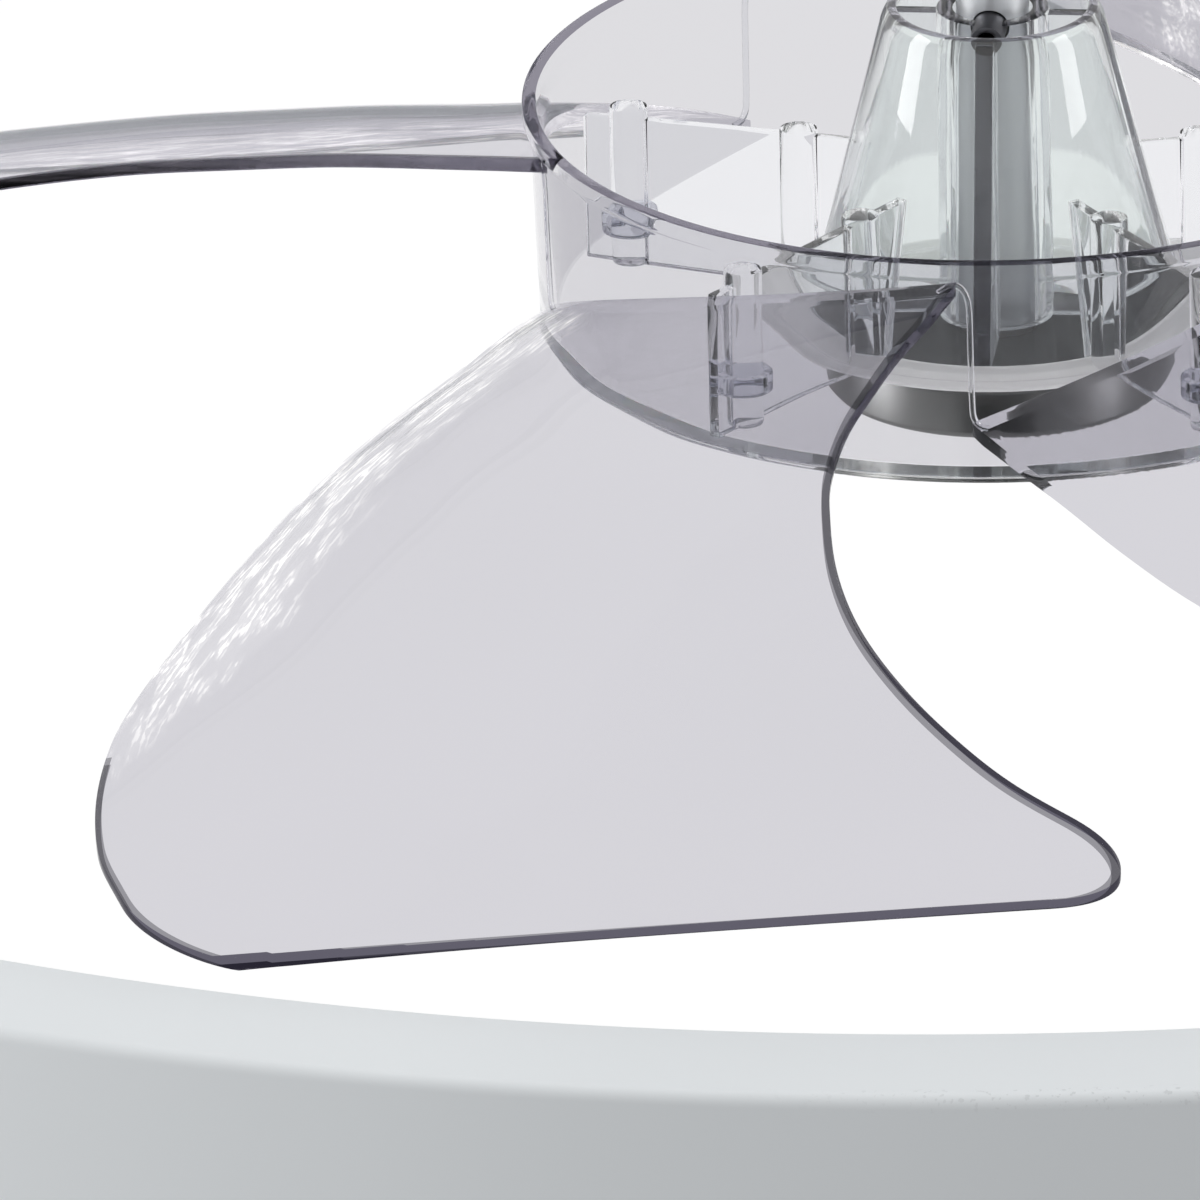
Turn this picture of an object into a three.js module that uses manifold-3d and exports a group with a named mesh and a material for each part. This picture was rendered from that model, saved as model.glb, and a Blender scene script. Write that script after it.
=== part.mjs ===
// Ring ceiling fan: a clear five-blade impeller on a motor shaft, inside a white light ring.
// Millimetres, +Z up. The origin is on the axis in the ceiling plane, and the object hangs below it.
// LEVEL is the height of the underside of the impeller's cup. Heights marked "above LEVEL" are added to it.
import * as THREE from "three";
import { mergeVertices } from "three/addons/utils/BufferGeometryUtils.js";
import Module from "manifold-3d";

const wasm = await Module();
wasm.setup();

// Overall
const LEVEL = -150; // underside of the impeller's cup, below the ceiling plane
const GAP = 0.3; // space left between neighbouring pieces
const FINE = 84; // segments round a large circle
const MID = 36; // segments round a hub-sized circle
const SMALL = 16; // segments round a fastener

// Impeller
const BLADES = 5;
const CUP = { rimR: 51.5, topR: 50.7, baseR: 49.8, wall: 1.5, height: 26.6, floor: 1.7 };
const CONE = { baseR: 20.8, topR: 12, height: 37, wall: 1.7 };
const SLEEVE = { innerR: 4.3, outerR: 6.2, height: 36.6 };
const RIB = { thick: 2, turn: -2.4 }; // four webs between the sleeve and the cone
const BOSS = { count: 5, turn: -37.1, innerAt: 23, outerAt: 43, r: 2.1, height: 19.4, web: 1.4 };
const BLADE_THICK = 1.7;
// Blade edges as [radius, azimuth in degrees, height above LEVEL]. Azimuth 0 faces -Y and grows towards +X.
const LOW_EDGE = [
  [48.6, -73.1, 6.8],
  [50, -72.4, 6.5],
  [56, -68.5, 5.8],
  [64, -63.6, 4.2],
  [74, -59.5, 2.3],
  [88, -54.6, -0.2],
  [105, -48.7, -2.1],
  [125, -43, -3.2],
  [150, -37.1, -3.1],
  [175, -31, -2.5],
  [184.5, -28.3, -2.1],
  [192.2, -26.1, -1.8],
  [197.6, -23.8, -1.4],
  [200, -21.6, -1],
];
const HIGH_EDGE = [
  [48.6, -2.3, 22.8],
  [50, -2.6, 22.9],
  [58, -3.8, 23.5],
  [72, -5.7, 24.2],
  [84, -6.7, 24.2],
  [95, -7.2, 24.1],
  [108, -7, 23.6],
  [120, -6.1, 23],
  [132, -5, 22.1],
  [145, -3.4, 21.1],
  [158, -1.3, 19.8],
  [170, 0.9, 18.5],
  [180, 2.9, 17.4],
  [188, 5, 16.2],
  [196, 6.15, 15],
  [201.5, 5.75, 14.1],
  [204, 3.8, 13.7],
];
const BLADE = { root: 49, tipLow: 200, tipHigh: 204, camber: 0.59 };
const BLADE_ROWS = [49, 52, 58, 65, 74, 86, 99, 113, 129, 145, 161, 176, 188, 196, 201.5, BLADE.tipHigh];
const BLADE_COLUMNS = [0, 0.09, 0.22, 0.38, 0.55, 0.73, 0.88, 1];

// Shaft line
const SHAFT_R = 4;
const SHAFT = { foot: -7.9, top: 95.5, chamfer: 0.6 };
const PIN = { outerR: 1.8, innerR: 1.1, half: 8.5, height: 35.6 };
const CAP_NUT = { flangeR: 19.1, flangeTop: -1.6, flangeBottom: -5.3, noseR: 10.4, bottom: -10 };
const WASHER = { innerR: 4.4, outerR: 16, top: -0.3, bottom: -1.3 };

// Motor, above LEVEL
const MOTOR = { outerR: 42, wall: 2, bottom: 58, split: 77, top: 97, bossR: 14.5 };
const BEARING = { outerR: 11, innerR: 4.35, thick: 7, lowAt: 61.5, highAt: 86.5 };
const STATOR = { outerR: 39.6, yokeR: 32, toothR: 21.8, low: 71, high: 84, teeth: 6, toothHalf: 3.2 };
const WINDING = { midR: 35, lobe: 1.6, bore: 23.4, thick: 4 };

// Carrier above the motor, above LEVEL
const HUB_PLATE = { r: 62, low: 97.4, high: 100.4, bore: 9 };
const ARM = { azimuths: [-60, 60, 180], width: 24, low: 100.7, high: 104.7, start: 26, beyond: 11 };
const TIE = { at: 52, r: 3, hole: 3.35, nutR: 5.8 };
const CANOPY = { r: 90, floorR: 76, low: 105, wall: 1.5, bore: 12 };
const DRIVER = { halfX: 36, front: -20, back: 30, height: 22, notch: 6 };
const BRACKET = { r: 70, thick: 2.5, holeSpan: 90, holeR: 2.6, tabX: 86, tabDrop: 17, tabHalf: 9 };

// Light ring, above LEVEL
const RING = { outerR: 260, innerR: 242, top: 14.8, bottom: -40, wall: 1.5, edge: 2.2 };
const DIFFUSER = { bottom: -44, lip: -14.6, wall: 1.8 };
const LED = { margin: 0.6, low: -14.3, high: -12.7, chip: 4, count: 24 };
const POST = { at: (RING.outerR + RING.innerR) / 2, r: 4, shoulderR: 6.5, endR: 3, hole: 3.35 };

const group = new THREE.Group();
group.name = "ring_ceiling_fan";

// A position from radius, azimuth in degrees and height.
function polar(r, azimuth, z) {
  const a = THREE.MathUtils.degToRad(azimuth);
  return new THREE.Vector3(r * Math.sin(a), -r * Math.cos(a), z);
}

// A closed three.js geometry as a solid that can be joined and cut.
function solid(geometry) {
  const bare = new THREE.BufferGeometry();
  const source = geometry.index ? geometry.toNonIndexed() : geometry;
  bare.setAttribute("position", source.getAttribute("position"));
  const merged = mergeVertices(bare, 1e-4);
  const index = merged.index.array;
  const kept = [];
  for (let i = 0; i < index.length; i += 3) {
    const [a, b, c] = [index[i], index[i + 1], index[i + 2]];
    if (a !== b && b !== c && c !== a) kept.push(a, b, c);
  }
  const build = (tris) =>
    new wasm.Manifold(
      new wasm.Mesh({
        numProp: 3,
        vertProperties: new Float32Array(merged.attributes.position.array),
        triVerts: new Uint32Array(tris),
      }),
    );
  const made = build(kept);
  if (made.volume() >= 0) return made;
  const turned = [];
  for (let i = 0; i < kept.length; i += 3) turned.push(kept[i], kept[i + 2], kept[i + 1]);
  return build(turned);
}

// A solid turned about Z by an azimuth and moved.
function placed(body, azimuth = 0, x = 0, y = 0, z = 0) {
  return body.rotate([0, 0, azimuth]).translate([x, y, z]);
}

// A solid of revolution from [radius, height] points that close on themselves.
function lathe(points, segments = MID) {
  const closed = [...points, points[0]].map(([r, z]) => new THREE.Vector2(r, z));
  const geometry = new THREE.LatheGeometry(closed, segments);
  geometry.rotateX(Math.PI / 2);
  return solid(geometry);
}

// A ring or disc of rectangular section.
function ring(innerR, outerR, low, high, segments = MID) {
  return lathe(
    [
      [innerR, low],
      [outerR, low],
      [outerR, high],
      [innerR, high],
    ],
    segments,
  );
}

// A vertical cylinder between two heights.
function rod(r, low, high, segments = SMALL) {
  const geometry = new THREE.CylinderGeometry(r, r, high - low, segments);
  geometry.rotateX(Math.PI / 2);
  geometry.translate(0, 0, (low + high) / 2);
  return solid(geometry);
}

// A cylinder along X between two values.
function rodX(r, from, to, segments = SMALL) {
  const geometry = new THREE.CylinderGeometry(r, r, to - from, segments);
  geometry.rotateZ(Math.PI / 2);
  geometry.translate((from + to) / 2, 0, 0);
  return solid(geometry);
}

// A box from its two corners.
function box(x0, x1, y0, y1, z0, z1) {
  const geometry = new THREE.BoxGeometry(x1 - x0, y1 - y0, z1 - z0);
  geometry.translate((x0 + x1) / 2, (y0 + y1) / 2, (z0 + z1) / 2);
  return solid(geometry);
}

// A straight prism of a shape, from one height to another.
function prism(shape, low, high) {
  const geometry = new THREE.ExtrudeGeometry(shape, {
    depth: high - low,
    bevelEnabled: false,
    curveSegments: 8,
  });
  geometry.translate(0, 0, low);
  return solid(geometry);
}

// A hexagonal prism, for nuts and heads.
function hexagon(r, low, high) {
  return rod(r, low, high, 6);
}

// All bodies of a list joined into one.
function join(list) {
  return list.reduce((a, b) => a.add(b));
}

// Adds one named piece, drawn with its own material.
function piece(name, body, colour, roughness, metalness, more = {}) {
  const mesh = body.getMesh();
  const positions = new Float32Array(mesh.numVert * 3);
  for (let i = 0; i < mesh.numVert; i++)
    positions.set(mesh.vertProperties.subarray(i * mesh.numProp, i * mesh.numProp + 3), i * 3);
  const geometry = new THREE.BufferGeometry();
  geometry.setAttribute("position", new THREE.BufferAttribute(positions, 3));
  geometry.setIndex(new THREE.BufferAttribute(mesh.triVerts, 1));
  const flat = geometry.toNonIndexed();
  flat.computeVertexNormals();
  const made = new THREE.Mesh(
    flat,
    new THREE.MeshStandardMaterial({ color: colour, roughness, metalness, ...more }),
  );
  made.name = name;
  group.add(made);
}

const WHITE = [0xe3e7ea, 0.42, 0.05];
const STEEL = [0xb9bcc0, 0.3, 0.95];
const ZINC = [0x9fa4a8, 0.45, 0.85];
const CHROME = [0x8d9096, 0.12, 1];
const CLEAR = [0xd8d8e0, 0.08, 0, { transparent: true, opacity: 0.45 }];

// The height, azimuth or both of an edge table at a radius.
function along(table, r, column) {
  if (r <= table[0][0]) return table[0][column];
  for (let i = 1; i < table.length; i++) {
    const [a, b] = [table[i - 1], table[i]];
    if (r <= b[0]) return a[column] + ((b[column] - a[column]) * (r - a[0])) / (b[0] - a[0]);
  }
  return table[table.length - 1][column];
}

// A point in the middle of a blade's thickness. t runs from the low edge, 0, to the high edge, 1. The tip is
// nearer the axis at the low edge, so each row is drawn in towards that side.
function bladePoint(row, t) {
  const share = (BLADE.tipLow - BLADE.root) / (BLADE.tipHigh - BLADE.root);
  const lowR = BLADE.root + (row - BLADE.root) * share;
  const low = along(LOW_EDGE, lowR, 1);
  const high = along(HIGH_EDGE, row, 1);
  const lowZ = along(LOW_EDGE, lowR, 2);
  const highZ = along(HIGH_EDGE, row, 2);
  const rise = t * (1 + BLADE.camber * (1 - t));
  const r = THREE.MathUtils.lerp(lowR, row, t);
  return polar(r, THREE.MathUtils.lerp(low, high, t), lowZ + (highZ - lowZ) * rise);
}

// One blade as a closed plate: two skins over a grid, with walls round the edge.
function blade() {
  const skins = [BLADE_THICK / 2, -BLADE_THICK / 2].map((lift) =>
    BLADE_ROWS.map((r) =>
      BLADE_COLUMNS.map((t) => {
        const p = bladePoint(r, t);
        p.z += lift;
        return p;
      }),
    ),
  );
  const positions = [];
  const tri = (a, b, c) => positions.push(...a.toArray(), ...b.toArray(), ...c.toArray());
  const quad = (a, b, c, d) => {
    tri(a, b, c);
    tri(a, c, d);
  };
  const [top, under] = skins;
  const rows = BLADE_ROWS.length - 1;
  const columns = BLADE_COLUMNS.length - 1;
  for (let i = 0; i < rows; i++) {
    for (let j = 0; j < columns; j++) {
      quad(top[i][j], top[i + 1][j], top[i + 1][j + 1], top[i][j + 1]);
      quad(under[i][j], under[i][j + 1], under[i + 1][j + 1], under[i + 1][j]);
    }
    quad(under[i][0], under[i + 1][0], top[i + 1][0], top[i][0]);
    quad(top[i][columns], top[i + 1][columns], under[i + 1][columns], under[i][columns]);
  }
  for (let j = 0; j < columns; j++) {
    quad(top[0][j], top[0][j + 1], under[0][j + 1], under[0][j]);
    quad(under[rows][j], under[rows][j + 1], top[rows][j + 1], top[rows][j]);
  }
  const geometry = new THREE.BufferGeometry();
  geometry.setAttribute("position", new THREE.Float32BufferAttribute(positions, 3));
  return solid(geometry);
}

// The impeller's cup: a floor with a drafted wall and a small bead at the rim.
function cup() {
  const h = CUP.height;
  const inner = (r) => r - CUP.wall;
  return lathe(
    [
      [SLEEVE.innerR, 0],
      [CUP.baseR - 0.8, 0],
      [CUP.baseR, 0.8],
      [CUP.topR, h - 2.4],
      [CUP.rimR, h - 1.8],
      [CUP.rimR, h - 0.3],
      [CUP.rimR - 0.5, h],
      [inner(CUP.topR), h],
      [inner(CUP.baseR), CUP.floor],
      [SLEEVE.innerR, CUP.floor],
    ],
    72,
  );
}

// The hollow cone boss, open at its top, with the shaft sleeve and four webs inside.
function hubBoss() {
  const h = CONE.height;
  const cone = lathe([
    [CONE.baseR - CONE.wall, 0.5],
    [CONE.baseR, 0.5],
    [CONE.topR + 0.2, h - 1.6],
    [CONE.topR - 0.5, h - 0.4],
    [CONE.topR - 1.1, h],
    [CONE.topR - 1.9, h - 0.6],
  ]);
  const sleeve = ring(SLEEVE.innerR, SLEEVE.outerR, 0.5, SLEEVE.height, 24);
  const reach = new THREE.Shape([
    new THREE.Vector2(SLEEVE.outerR - 0.5, 0.6),
    new THREE.Vector2(CONE.baseR - 0.9, 0.6),
    new THREE.Vector2(CONE.topR - 1.1, h - 0.9),
    new THREE.Vector2(SLEEVE.outerR - 0.5, h - 0.9),
  ]);
  const web = prism(reach, -RIB.thick / 2, RIB.thick / 2).rotate([90, 0, 0]);
  const webs = [0, 90, 180, 270].map((a) => placed(web, a + RIB.turn));
  return join([cone, sleeve, ...webs]);
}

// The round bosses on the cup's floor, joined by webs from the cone to the wall.
function bossesAndWebs() {
  const list = [];
  for (let i = 0; i < BOSS.count; i++) {
    const azimuth = BOSS.turn + (360 / BOSS.count) * i;
    for (const at of [BOSS.innerAt, BOSS.outerAt]) {
      const p = polar(at, azimuth, 0);
      list.push(placed(rod(BOSS.r, 0.8, BOSS.height, 10), 0, p.x, p.y));
    }
    const outline = new THREE.Shape([
      new THREE.Vector2(18.2, 0.8),
      new THREE.Vector2(CUP.baseR - 0.9, 0.8),
      new THREE.Vector2(CUP.baseR - 0.5, BOSS.height - 2.6),
      new THREE.Vector2(BOSS.outerAt, BOSS.height - 0.9),
      new THREE.Vector2(15.6, BOSS.height - 0.4),
    ]);
    const web = prism(outline, -BOSS.web / 2, BOSS.web / 2).rotate([90, 0, 0]);
    list.push(placed(web, azimuth - 90));
  }
  return join(list);
}

// The impeller is one moulding: cup, cone, bosses, wall steps and blades.
function impeller() {
  const steps = [];
  const blades = [];
  const one = blade();
  const step = box(-0.35, 0.35, -51.2, -49.3, 5.8, 22.4);
  for (let i = 0; i < BLADES; i++) {
    blades.push(placed(one, (360 / BLADES) * i));
    steps.push(placed(step, -0.5 + (360 / BLADES) * i));
  }
  const body = join([cup(), hubBoss(), bossesAndWebs(), ...steps, ...blades]);
  const notch = rodX(PIN.outerR + 0.35, -9.4, 9.4, 16)
    .rotate([0, 0, 90 + RIB.turn])
    .translate([0, 0, PIN.height]);
  const mouth = box(-9.4, 9.4, -2.1, 2.1, PIN.height, CONE.height + 3)
    .rotate([0, 0, 90 + RIB.turn]);
  const bore = rod(SLEEVE.innerR, -3, CONE.height + 3, 24);
  return body.subtract(notch).subtract(mouth).subtract(bore).translate([0, 0, LEVEL]);
}

function buildRotor() {
  piece("impeller", impeller(), ...CLEAR);
  const shaft = lathe(
    [
      [0, SHAFT.foot],
      [SHAFT_R - SHAFT.chamfer, SHAFT.foot],
      [SHAFT_R, SHAFT.foot + SHAFT.chamfer],
      [SHAFT_R, SHAFT.top - SHAFT.chamfer],
      [SHAFT_R - SHAFT.chamfer, SHAFT.top],
      [0, SHAFT.top],
    ],
    24,
  );
  const pinHole = rodX(PIN.outerR + 0.2, -2 * SHAFT_R, 2 * SHAFT_R, 16)
    .rotate([0, 0, 90 + RIB.turn])
    .translate([0, 0, PIN.height]);
  piece("motor_shaft", shaft.subtract(pinHole).translate([0, 0, LEVEL]), ...STEEL);
  const pinBore = rodX(PIN.innerR, -2 * PIN.half, 2 * PIN.half, 16);
  const pin = rodX(PIN.outerR, -PIN.half, PIN.half, 16).subtract(pinBore);
  piece(
    "roll_pin",
    pin.rotate([0, 0, 90 + RIB.turn]).translate([0, 0, LEVEL + PIN.height]),
    ...ZINC,
  );
  piece(
    "seat_washer",
    ring(WASHER.innerR, WASHER.outerR, WASHER.bottom, WASHER.top).translate([0, 0, LEVEL]),
    0x4a4d54,
    0.7,
    0,
  );
  const nut = lathe([
    [0, CAP_NUT.bottom],
    [CAP_NUT.noseR - 1.6, CAP_NUT.bottom],
    [CAP_NUT.noseR, CAP_NUT.bottom + 0.9],
    [CAP_NUT.noseR + 1, CAP_NUT.flangeBottom - 0.6],
    [CAP_NUT.noseR + 2.2, CAP_NUT.flangeBottom],
    [CAP_NUT.flangeR - 0.6, CAP_NUT.flangeBottom],
    [CAP_NUT.flangeR, CAP_NUT.flangeBottom + 0.6],
    [CAP_NUT.flangeR, CAP_NUT.flangeTop - 0.4],
    [CAP_NUT.flangeR - 0.4, CAP_NUT.flangeTop],
    [0, CAP_NUT.flangeTop],
  ]).subtract(rod(SHAFT_R + GAP, SHAFT.foot - GAP, 0, 32));
  piece("cap_nut", nut.translate([0, 0, LEVEL]), ...CHROME);
  const core = ring(SHAFT_R + GAP, 17.4, STATOR.low, STATOR.high, 32);
  piece("rotor_core", core.translate([0, 0, LEVEL]), 0x6d7074, 0.5, 0.8);
  const magnets = ring(17.7, 20.6, STATOR.low - 0.8, STATOR.high + 0.8, 36);
  piece("magnet_ring", magnets.translate([0, 0, LEVEL]), 0x3a3c40, 0.6, 0.3);
}

// A motor cover: a dished shell with a bearing boss. up is 1 for the top cover and -1 for the bottom one.
function motorCover(up) {
  const face = up > 0 ? MOTOR.top : MOTOR.bottom;
  const seam = MOTOR.split + 0.2 * up;
  const z = (depth) => face - up * depth;
  const bearingFace = up > 0 ? BEARING.highAt - GAP : BEARING.lowAt + BEARING.thick + GAP;
  const shell = lathe([
    [SHAFT_R + 1.2, z(0)],
    [MOTOR.outerR - 3.5, z(0)],
    [MOTOR.outerR - 1, z(1)],
    [MOTOR.outerR, z(3.5)],
    [MOTOR.outerR, seam],
    [MOTOR.outerR - MOTOR.wall, seam],
    [MOTOR.outerR - MOTOR.wall, z(4)],
    [MOTOR.outerR - MOTOR.wall - 2, z(MOTOR.wall)],
    [MOTOR.bossR, z(MOTOR.wall)],
    [MOTOR.bossR, bearingFace],
    [BEARING.outerR + GAP, bearingFace],
    [BEARING.outerR + GAP, up > 0 ? BEARING.highAt + BEARING.thick + GAP : BEARING.lowAt - GAP],
    [SHAFT_R + 1.2, up > 0 ? BEARING.highAt + BEARING.thick + GAP : BEARING.lowAt - GAP],
  ]);
  return shell;
}

function buildMotor() {
  const screwAt = [0, 120, 240];
  let top = motorCover(1);
  for (const a of screwAt) {
    const p = polar(30, a, 0);
    top = top.subtract(placed(rod(1.9, MOTOR.top - 5, MOTOR.top + 1, 12), 0, p.x, p.y));
  }
  piece("motor_top_cover", top.translate([0, 0, LEVEL]), ...WHITE);
  let bottom = motorCover(-1);
  for (let i = 0; i < 12; i++) {
    const slot = box(-1.2, 1.2, -36, -20, MOTOR.bottom - 1, MOTOR.bottom + MOTOR.wall + 1);
    bottom = bottom.subtract(placed(slot, 30 * i));
  }
  piece("motor_bottom_cover", bottom.translate([0, 0, LEVEL]), ...WHITE);
  for (const [name, at] of [
    ["bearing_lower", BEARING.lowAt],
    ["bearing_upper", BEARING.highAt],
  ]) {
    const race = ring(BEARING.innerR, BEARING.outerR, at, at + BEARING.thick, 24);
    piece(name, race.translate([0, 0, LEVEL]), ...STEEL);
  }
  const yoke = ring(STATOR.yokeR, STATOR.outerR, STATOR.low, STATOR.high);
  const teeth = [];
  for (let i = 0; i < STATOR.teeth; i++) {
    const w = STATOR.toothHalf;
    const tooth = box(-w, w, -STATOR.yokeR - 1, -STATOR.toothR - 0.6, STATOR.low, STATOR.high);
    teeth.push(placed(tooth, (360 / STATOR.teeth) * i));
  }
  piece("stator_core", join([yoke, ...teeth]).translate([0, 0, LEVEL]), 0x7b7f84, 0.5, 0.7);
  const lobes = new THREE.Shape();
  const steps = 48;
  for (let i = 0; i < steps; i++) {
    const a = (2 * Math.PI * i) / steps;
    const r = WINDING.midR + WINDING.lobe * Math.cos(STATOR.teeth * (a - Math.PI / 2));
    if (i === 0) lobes.moveTo(r * Math.cos(a), r * Math.sin(a));
    else lobes.lineTo(r * Math.cos(a), r * Math.sin(a));
  }
  lobes.closePath();
  for (const [name, low] of [
    ["winding_lower", STATOR.low - WINDING.thick - GAP],
    ["winding_upper", STATOR.high + GAP],
  ]) {
    const bore = rod(WINDING.bore, low - 1, low + WINDING.thick + 1, 36);
    const coil = prism(lobes, low, low + WINDING.thick).subtract(bore);
    piece(name, coil.translate([0, 0, LEVEL]), 0xb06a35, 0.45, 0.7);
  }
}

function buildCarrier() {
  let plate = ring(HUB_PLATE.bore, HUB_PLATE.r, HUB_PLATE.low, HUB_PLATE.high, 48);
  const screwAt = [0, 120, 240];
  for (const a of screwAt) {
    const p = polar(30, a, 0);
    plate = plate.subtract(placed(rod(2.2, HUB_PLATE.low - 1, HUB_PLATE.high + 1, 12), 0, p.x, p.y));
  }
  for (const a of ARM.azimuths) {
    const p = polar(TIE.at, a, 0);
    plate = plate.subtract(placed(rod(TIE.hole, HUB_PLATE.low - 1, HUB_PLATE.high + 1, 12), 0, p.x, p.y));
  }
  piece("hub_plate", plate.translate([0, 0, LEVEL]), ...WHITE);
  screwAt.forEach((a, i) => {
    const p = polar(30, a, 0);
    const screw = join([
      rod(1.6, MOTOR.top - 4.5, HUB_PLATE.high + 0.5, 12),
      rod(3.4, HUB_PLATE.high + GAP, HUB_PLATE.high + 2.6, 16),
    ]).subtract(box(-2.6, 2.6, -0.4, 0.4, HUB_PLATE.high + 1.7, HUB_PLATE.high + 4));
    piece("motor_screw_" + (i + 1), placed(screw, 0, p.x, p.y, LEVEL), ...ZINC);
  });
  ARM.azimuths.forEach((a, i) => {
    const half = ARM.width / 2;
    const outline = new THREE.Shape();
    outline.moveTo(-half, -ARM.start);
    outline.lineTo(half, -ARM.start);
    const tip = half - POST.at - ARM.beyond;
    outline.lineTo(half - 3, tip);
    outline.absarc(0, tip, half - 3, 0, -Math.PI, true);
    outline.lineTo(-half, -ARM.start);
    let arm = prism(outline, ARM.low, ARM.high);
    for (const at of [TIE.at, POST.at])
      arm = arm.subtract(placed(rod(TIE.hole, ARM.low - 1, ARM.high + 1, 12), 0, 0, -at));
    piece("arm_" + (i + 1), placed(arm, a, 0, 0, LEVEL), ...WHITE);
    const tie = lathe(
      [
        [0, HUB_PLATE.low - 6],
        [TIE.r - 0.4, HUB_PLATE.low - 6],
        [TIE.r, HUB_PLATE.low - 5.5],
        [TIE.r, -LEVEL - BRACKET.thick - 3.3],
        [TIE.r + 2.4, -LEVEL - BRACKET.thick - 3.3],
        [TIE.r + 2.4, -LEVEL - BRACKET.thick - GAP],
        [TIE.r, -LEVEL - BRACKET.thick - GAP],
        [TIE.r, -LEVEL - 0.5],
        [0, -LEVEL - 0.5],
      ],
      SMALL,
    );
    const p = polar(TIE.at, a, 0);
    piece("tie_stud_" + (i + 1), placed(tie, 0, p.x, p.y, LEVEL), ...ZINC);
    const nut = hexagon(TIE.nutR, HUB_PLATE.low - 5.3, HUB_PLATE.low - GAP)
      .subtract(rod(TIE.r + GAP, HUB_PLATE.low - 9, HUB_PLATE.low, SMALL));
    piece("tie_nut_" + (i + 1), placed(nut, a, p.x, p.y, LEVEL), ...ZINC);
  });
}

function buildCanopy() {
  const top = -LEVEL - 0.6;
  const low = CANOPY.low;
  const shell = lathe(
    [
      [CANOPY.bore, low],
      [CANOPY.floorR, low],
      [CANOPY.floorR + 8.5, low + 2.6],
      [CANOPY.r - 0.8, low + 9],
      [CANOPY.r, low + 15],
      [CANOPY.r, top],
      [CANOPY.r - CANOPY.wall, top],
      [CANOPY.r - CANOPY.wall, low + 15.2],
      [CANOPY.floorR + 7.7, low + 4],
      [CANOPY.floorR - 0.2, low + CANOPY.wall],
      [CANOPY.bore, low + CANOPY.wall],
    ],
    60,
  );
  let canopy = shell;
  for (const a of ARM.azimuths) {
    const p = polar(TIE.at, a, 0);
    canopy = canopy.subtract(placed(rod(TIE.hole, low - 1, low + 4, 16), 0, p.x, p.y));
  }
  const screwZ = -LEVEL - 10;
  for (const side of [0, 180])
    canopy = canopy.subtract(rodX(2.4, 80, 95, 16).rotate([0, 0, side]).translate([0, 0, screwZ]));
  piece("canopy", canopy.translate([0, 0, LEVEL]), ...WHITE);

  const t = BRACKET.thick;
  let bracket = rod(BRACKET.r, -t, 0, 48).add(box(-BRACKET.tabX, BRACKET.tabX, -14, 14, -t, 0));
  for (const side of [-1, 1]) {
    const x0 = side > 0 ? BRACKET.tabX - t : -BRACKET.tabX;
    bracket = bracket.add(box(x0, x0 + t, -BRACKET.tabHalf, BRACKET.tabHalf, -BRACKET.tabDrop, -0.5));
    const screwHole = placed(rod(BRACKET.holeR, -t - 1, 1, SMALL), 0, (side * BRACKET.holeSpan) / 2);
    bracket = bracket.subtract(screwHole);
  }
  for (const a of ARM.azimuths) {
    const p = polar(TIE.at, a, 0);
    bracket = bracket.subtract(placed(rod(TIE.hole, -t - 1, 1, 16), 0, p.x, p.y));
  }
  bracket = bracket.subtract(rod(11, -t - 1, 1, SMALL));
  bracket = bracket.subtract(rodX(2.4, -95, 95, 16).translate([0, 0, -10]));
  piece("ceiling_bracket", bracket, ...ZINC);

  [0, 180].forEach((side, i) => {
    const head = CANOPY.r + GAP;
    const screw = rodX(2, 80, head + 1, 16)
      .add(rodX(4, head, head + 2.4, 20))
      .subtract(box(head + 1.6, head + 4, -3, 3, -0.45, 0.45));
    piece("canopy_screw_" + (i + 1), screw.rotate([0, 0, side]).translate([0, 0, -10]), ...ZINC);
  });

  const block = box(-22, 22, -62, -46, -20, -t - GAP);
  let terminal = block;
  for (let i = -2; i <= 2; i++) {
    terminal = terminal.subtract(placed(rod(2.2, -21, -16, 12), 0, i * 8, -54));
    terminal = terminal.subtract(box(i * 8 - 2, i * 8 + 2, -63, -57, -17, -12));
  }
  piece("terminal_block", terminal, 0xf0efe8, 0.6, 0);

  const driverLow = LEVEL + CANOPY.low + CANOPY.wall + GAP;
  const d = DRIVER;
  const notchLow = driverLow + d.height / 7;
  const above = driverLow + 2 * d.height;
  const driver = box(-d.halfX, d.halfX, d.front, d.back, driverLow, driverLow + d.height)
    .subtract(box(-d.halfX - 1, d.notch - d.halfX, d.front - 1, d.front + d.notch, notchLow, above))
    .subtract(box(d.halfX - d.notch, d.halfX + 1, d.back - d.notch, d.back + 1, notchLow, above));
  piece("driver_box", driver, 0xd9dbdd, 0.5, 0);
}

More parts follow.
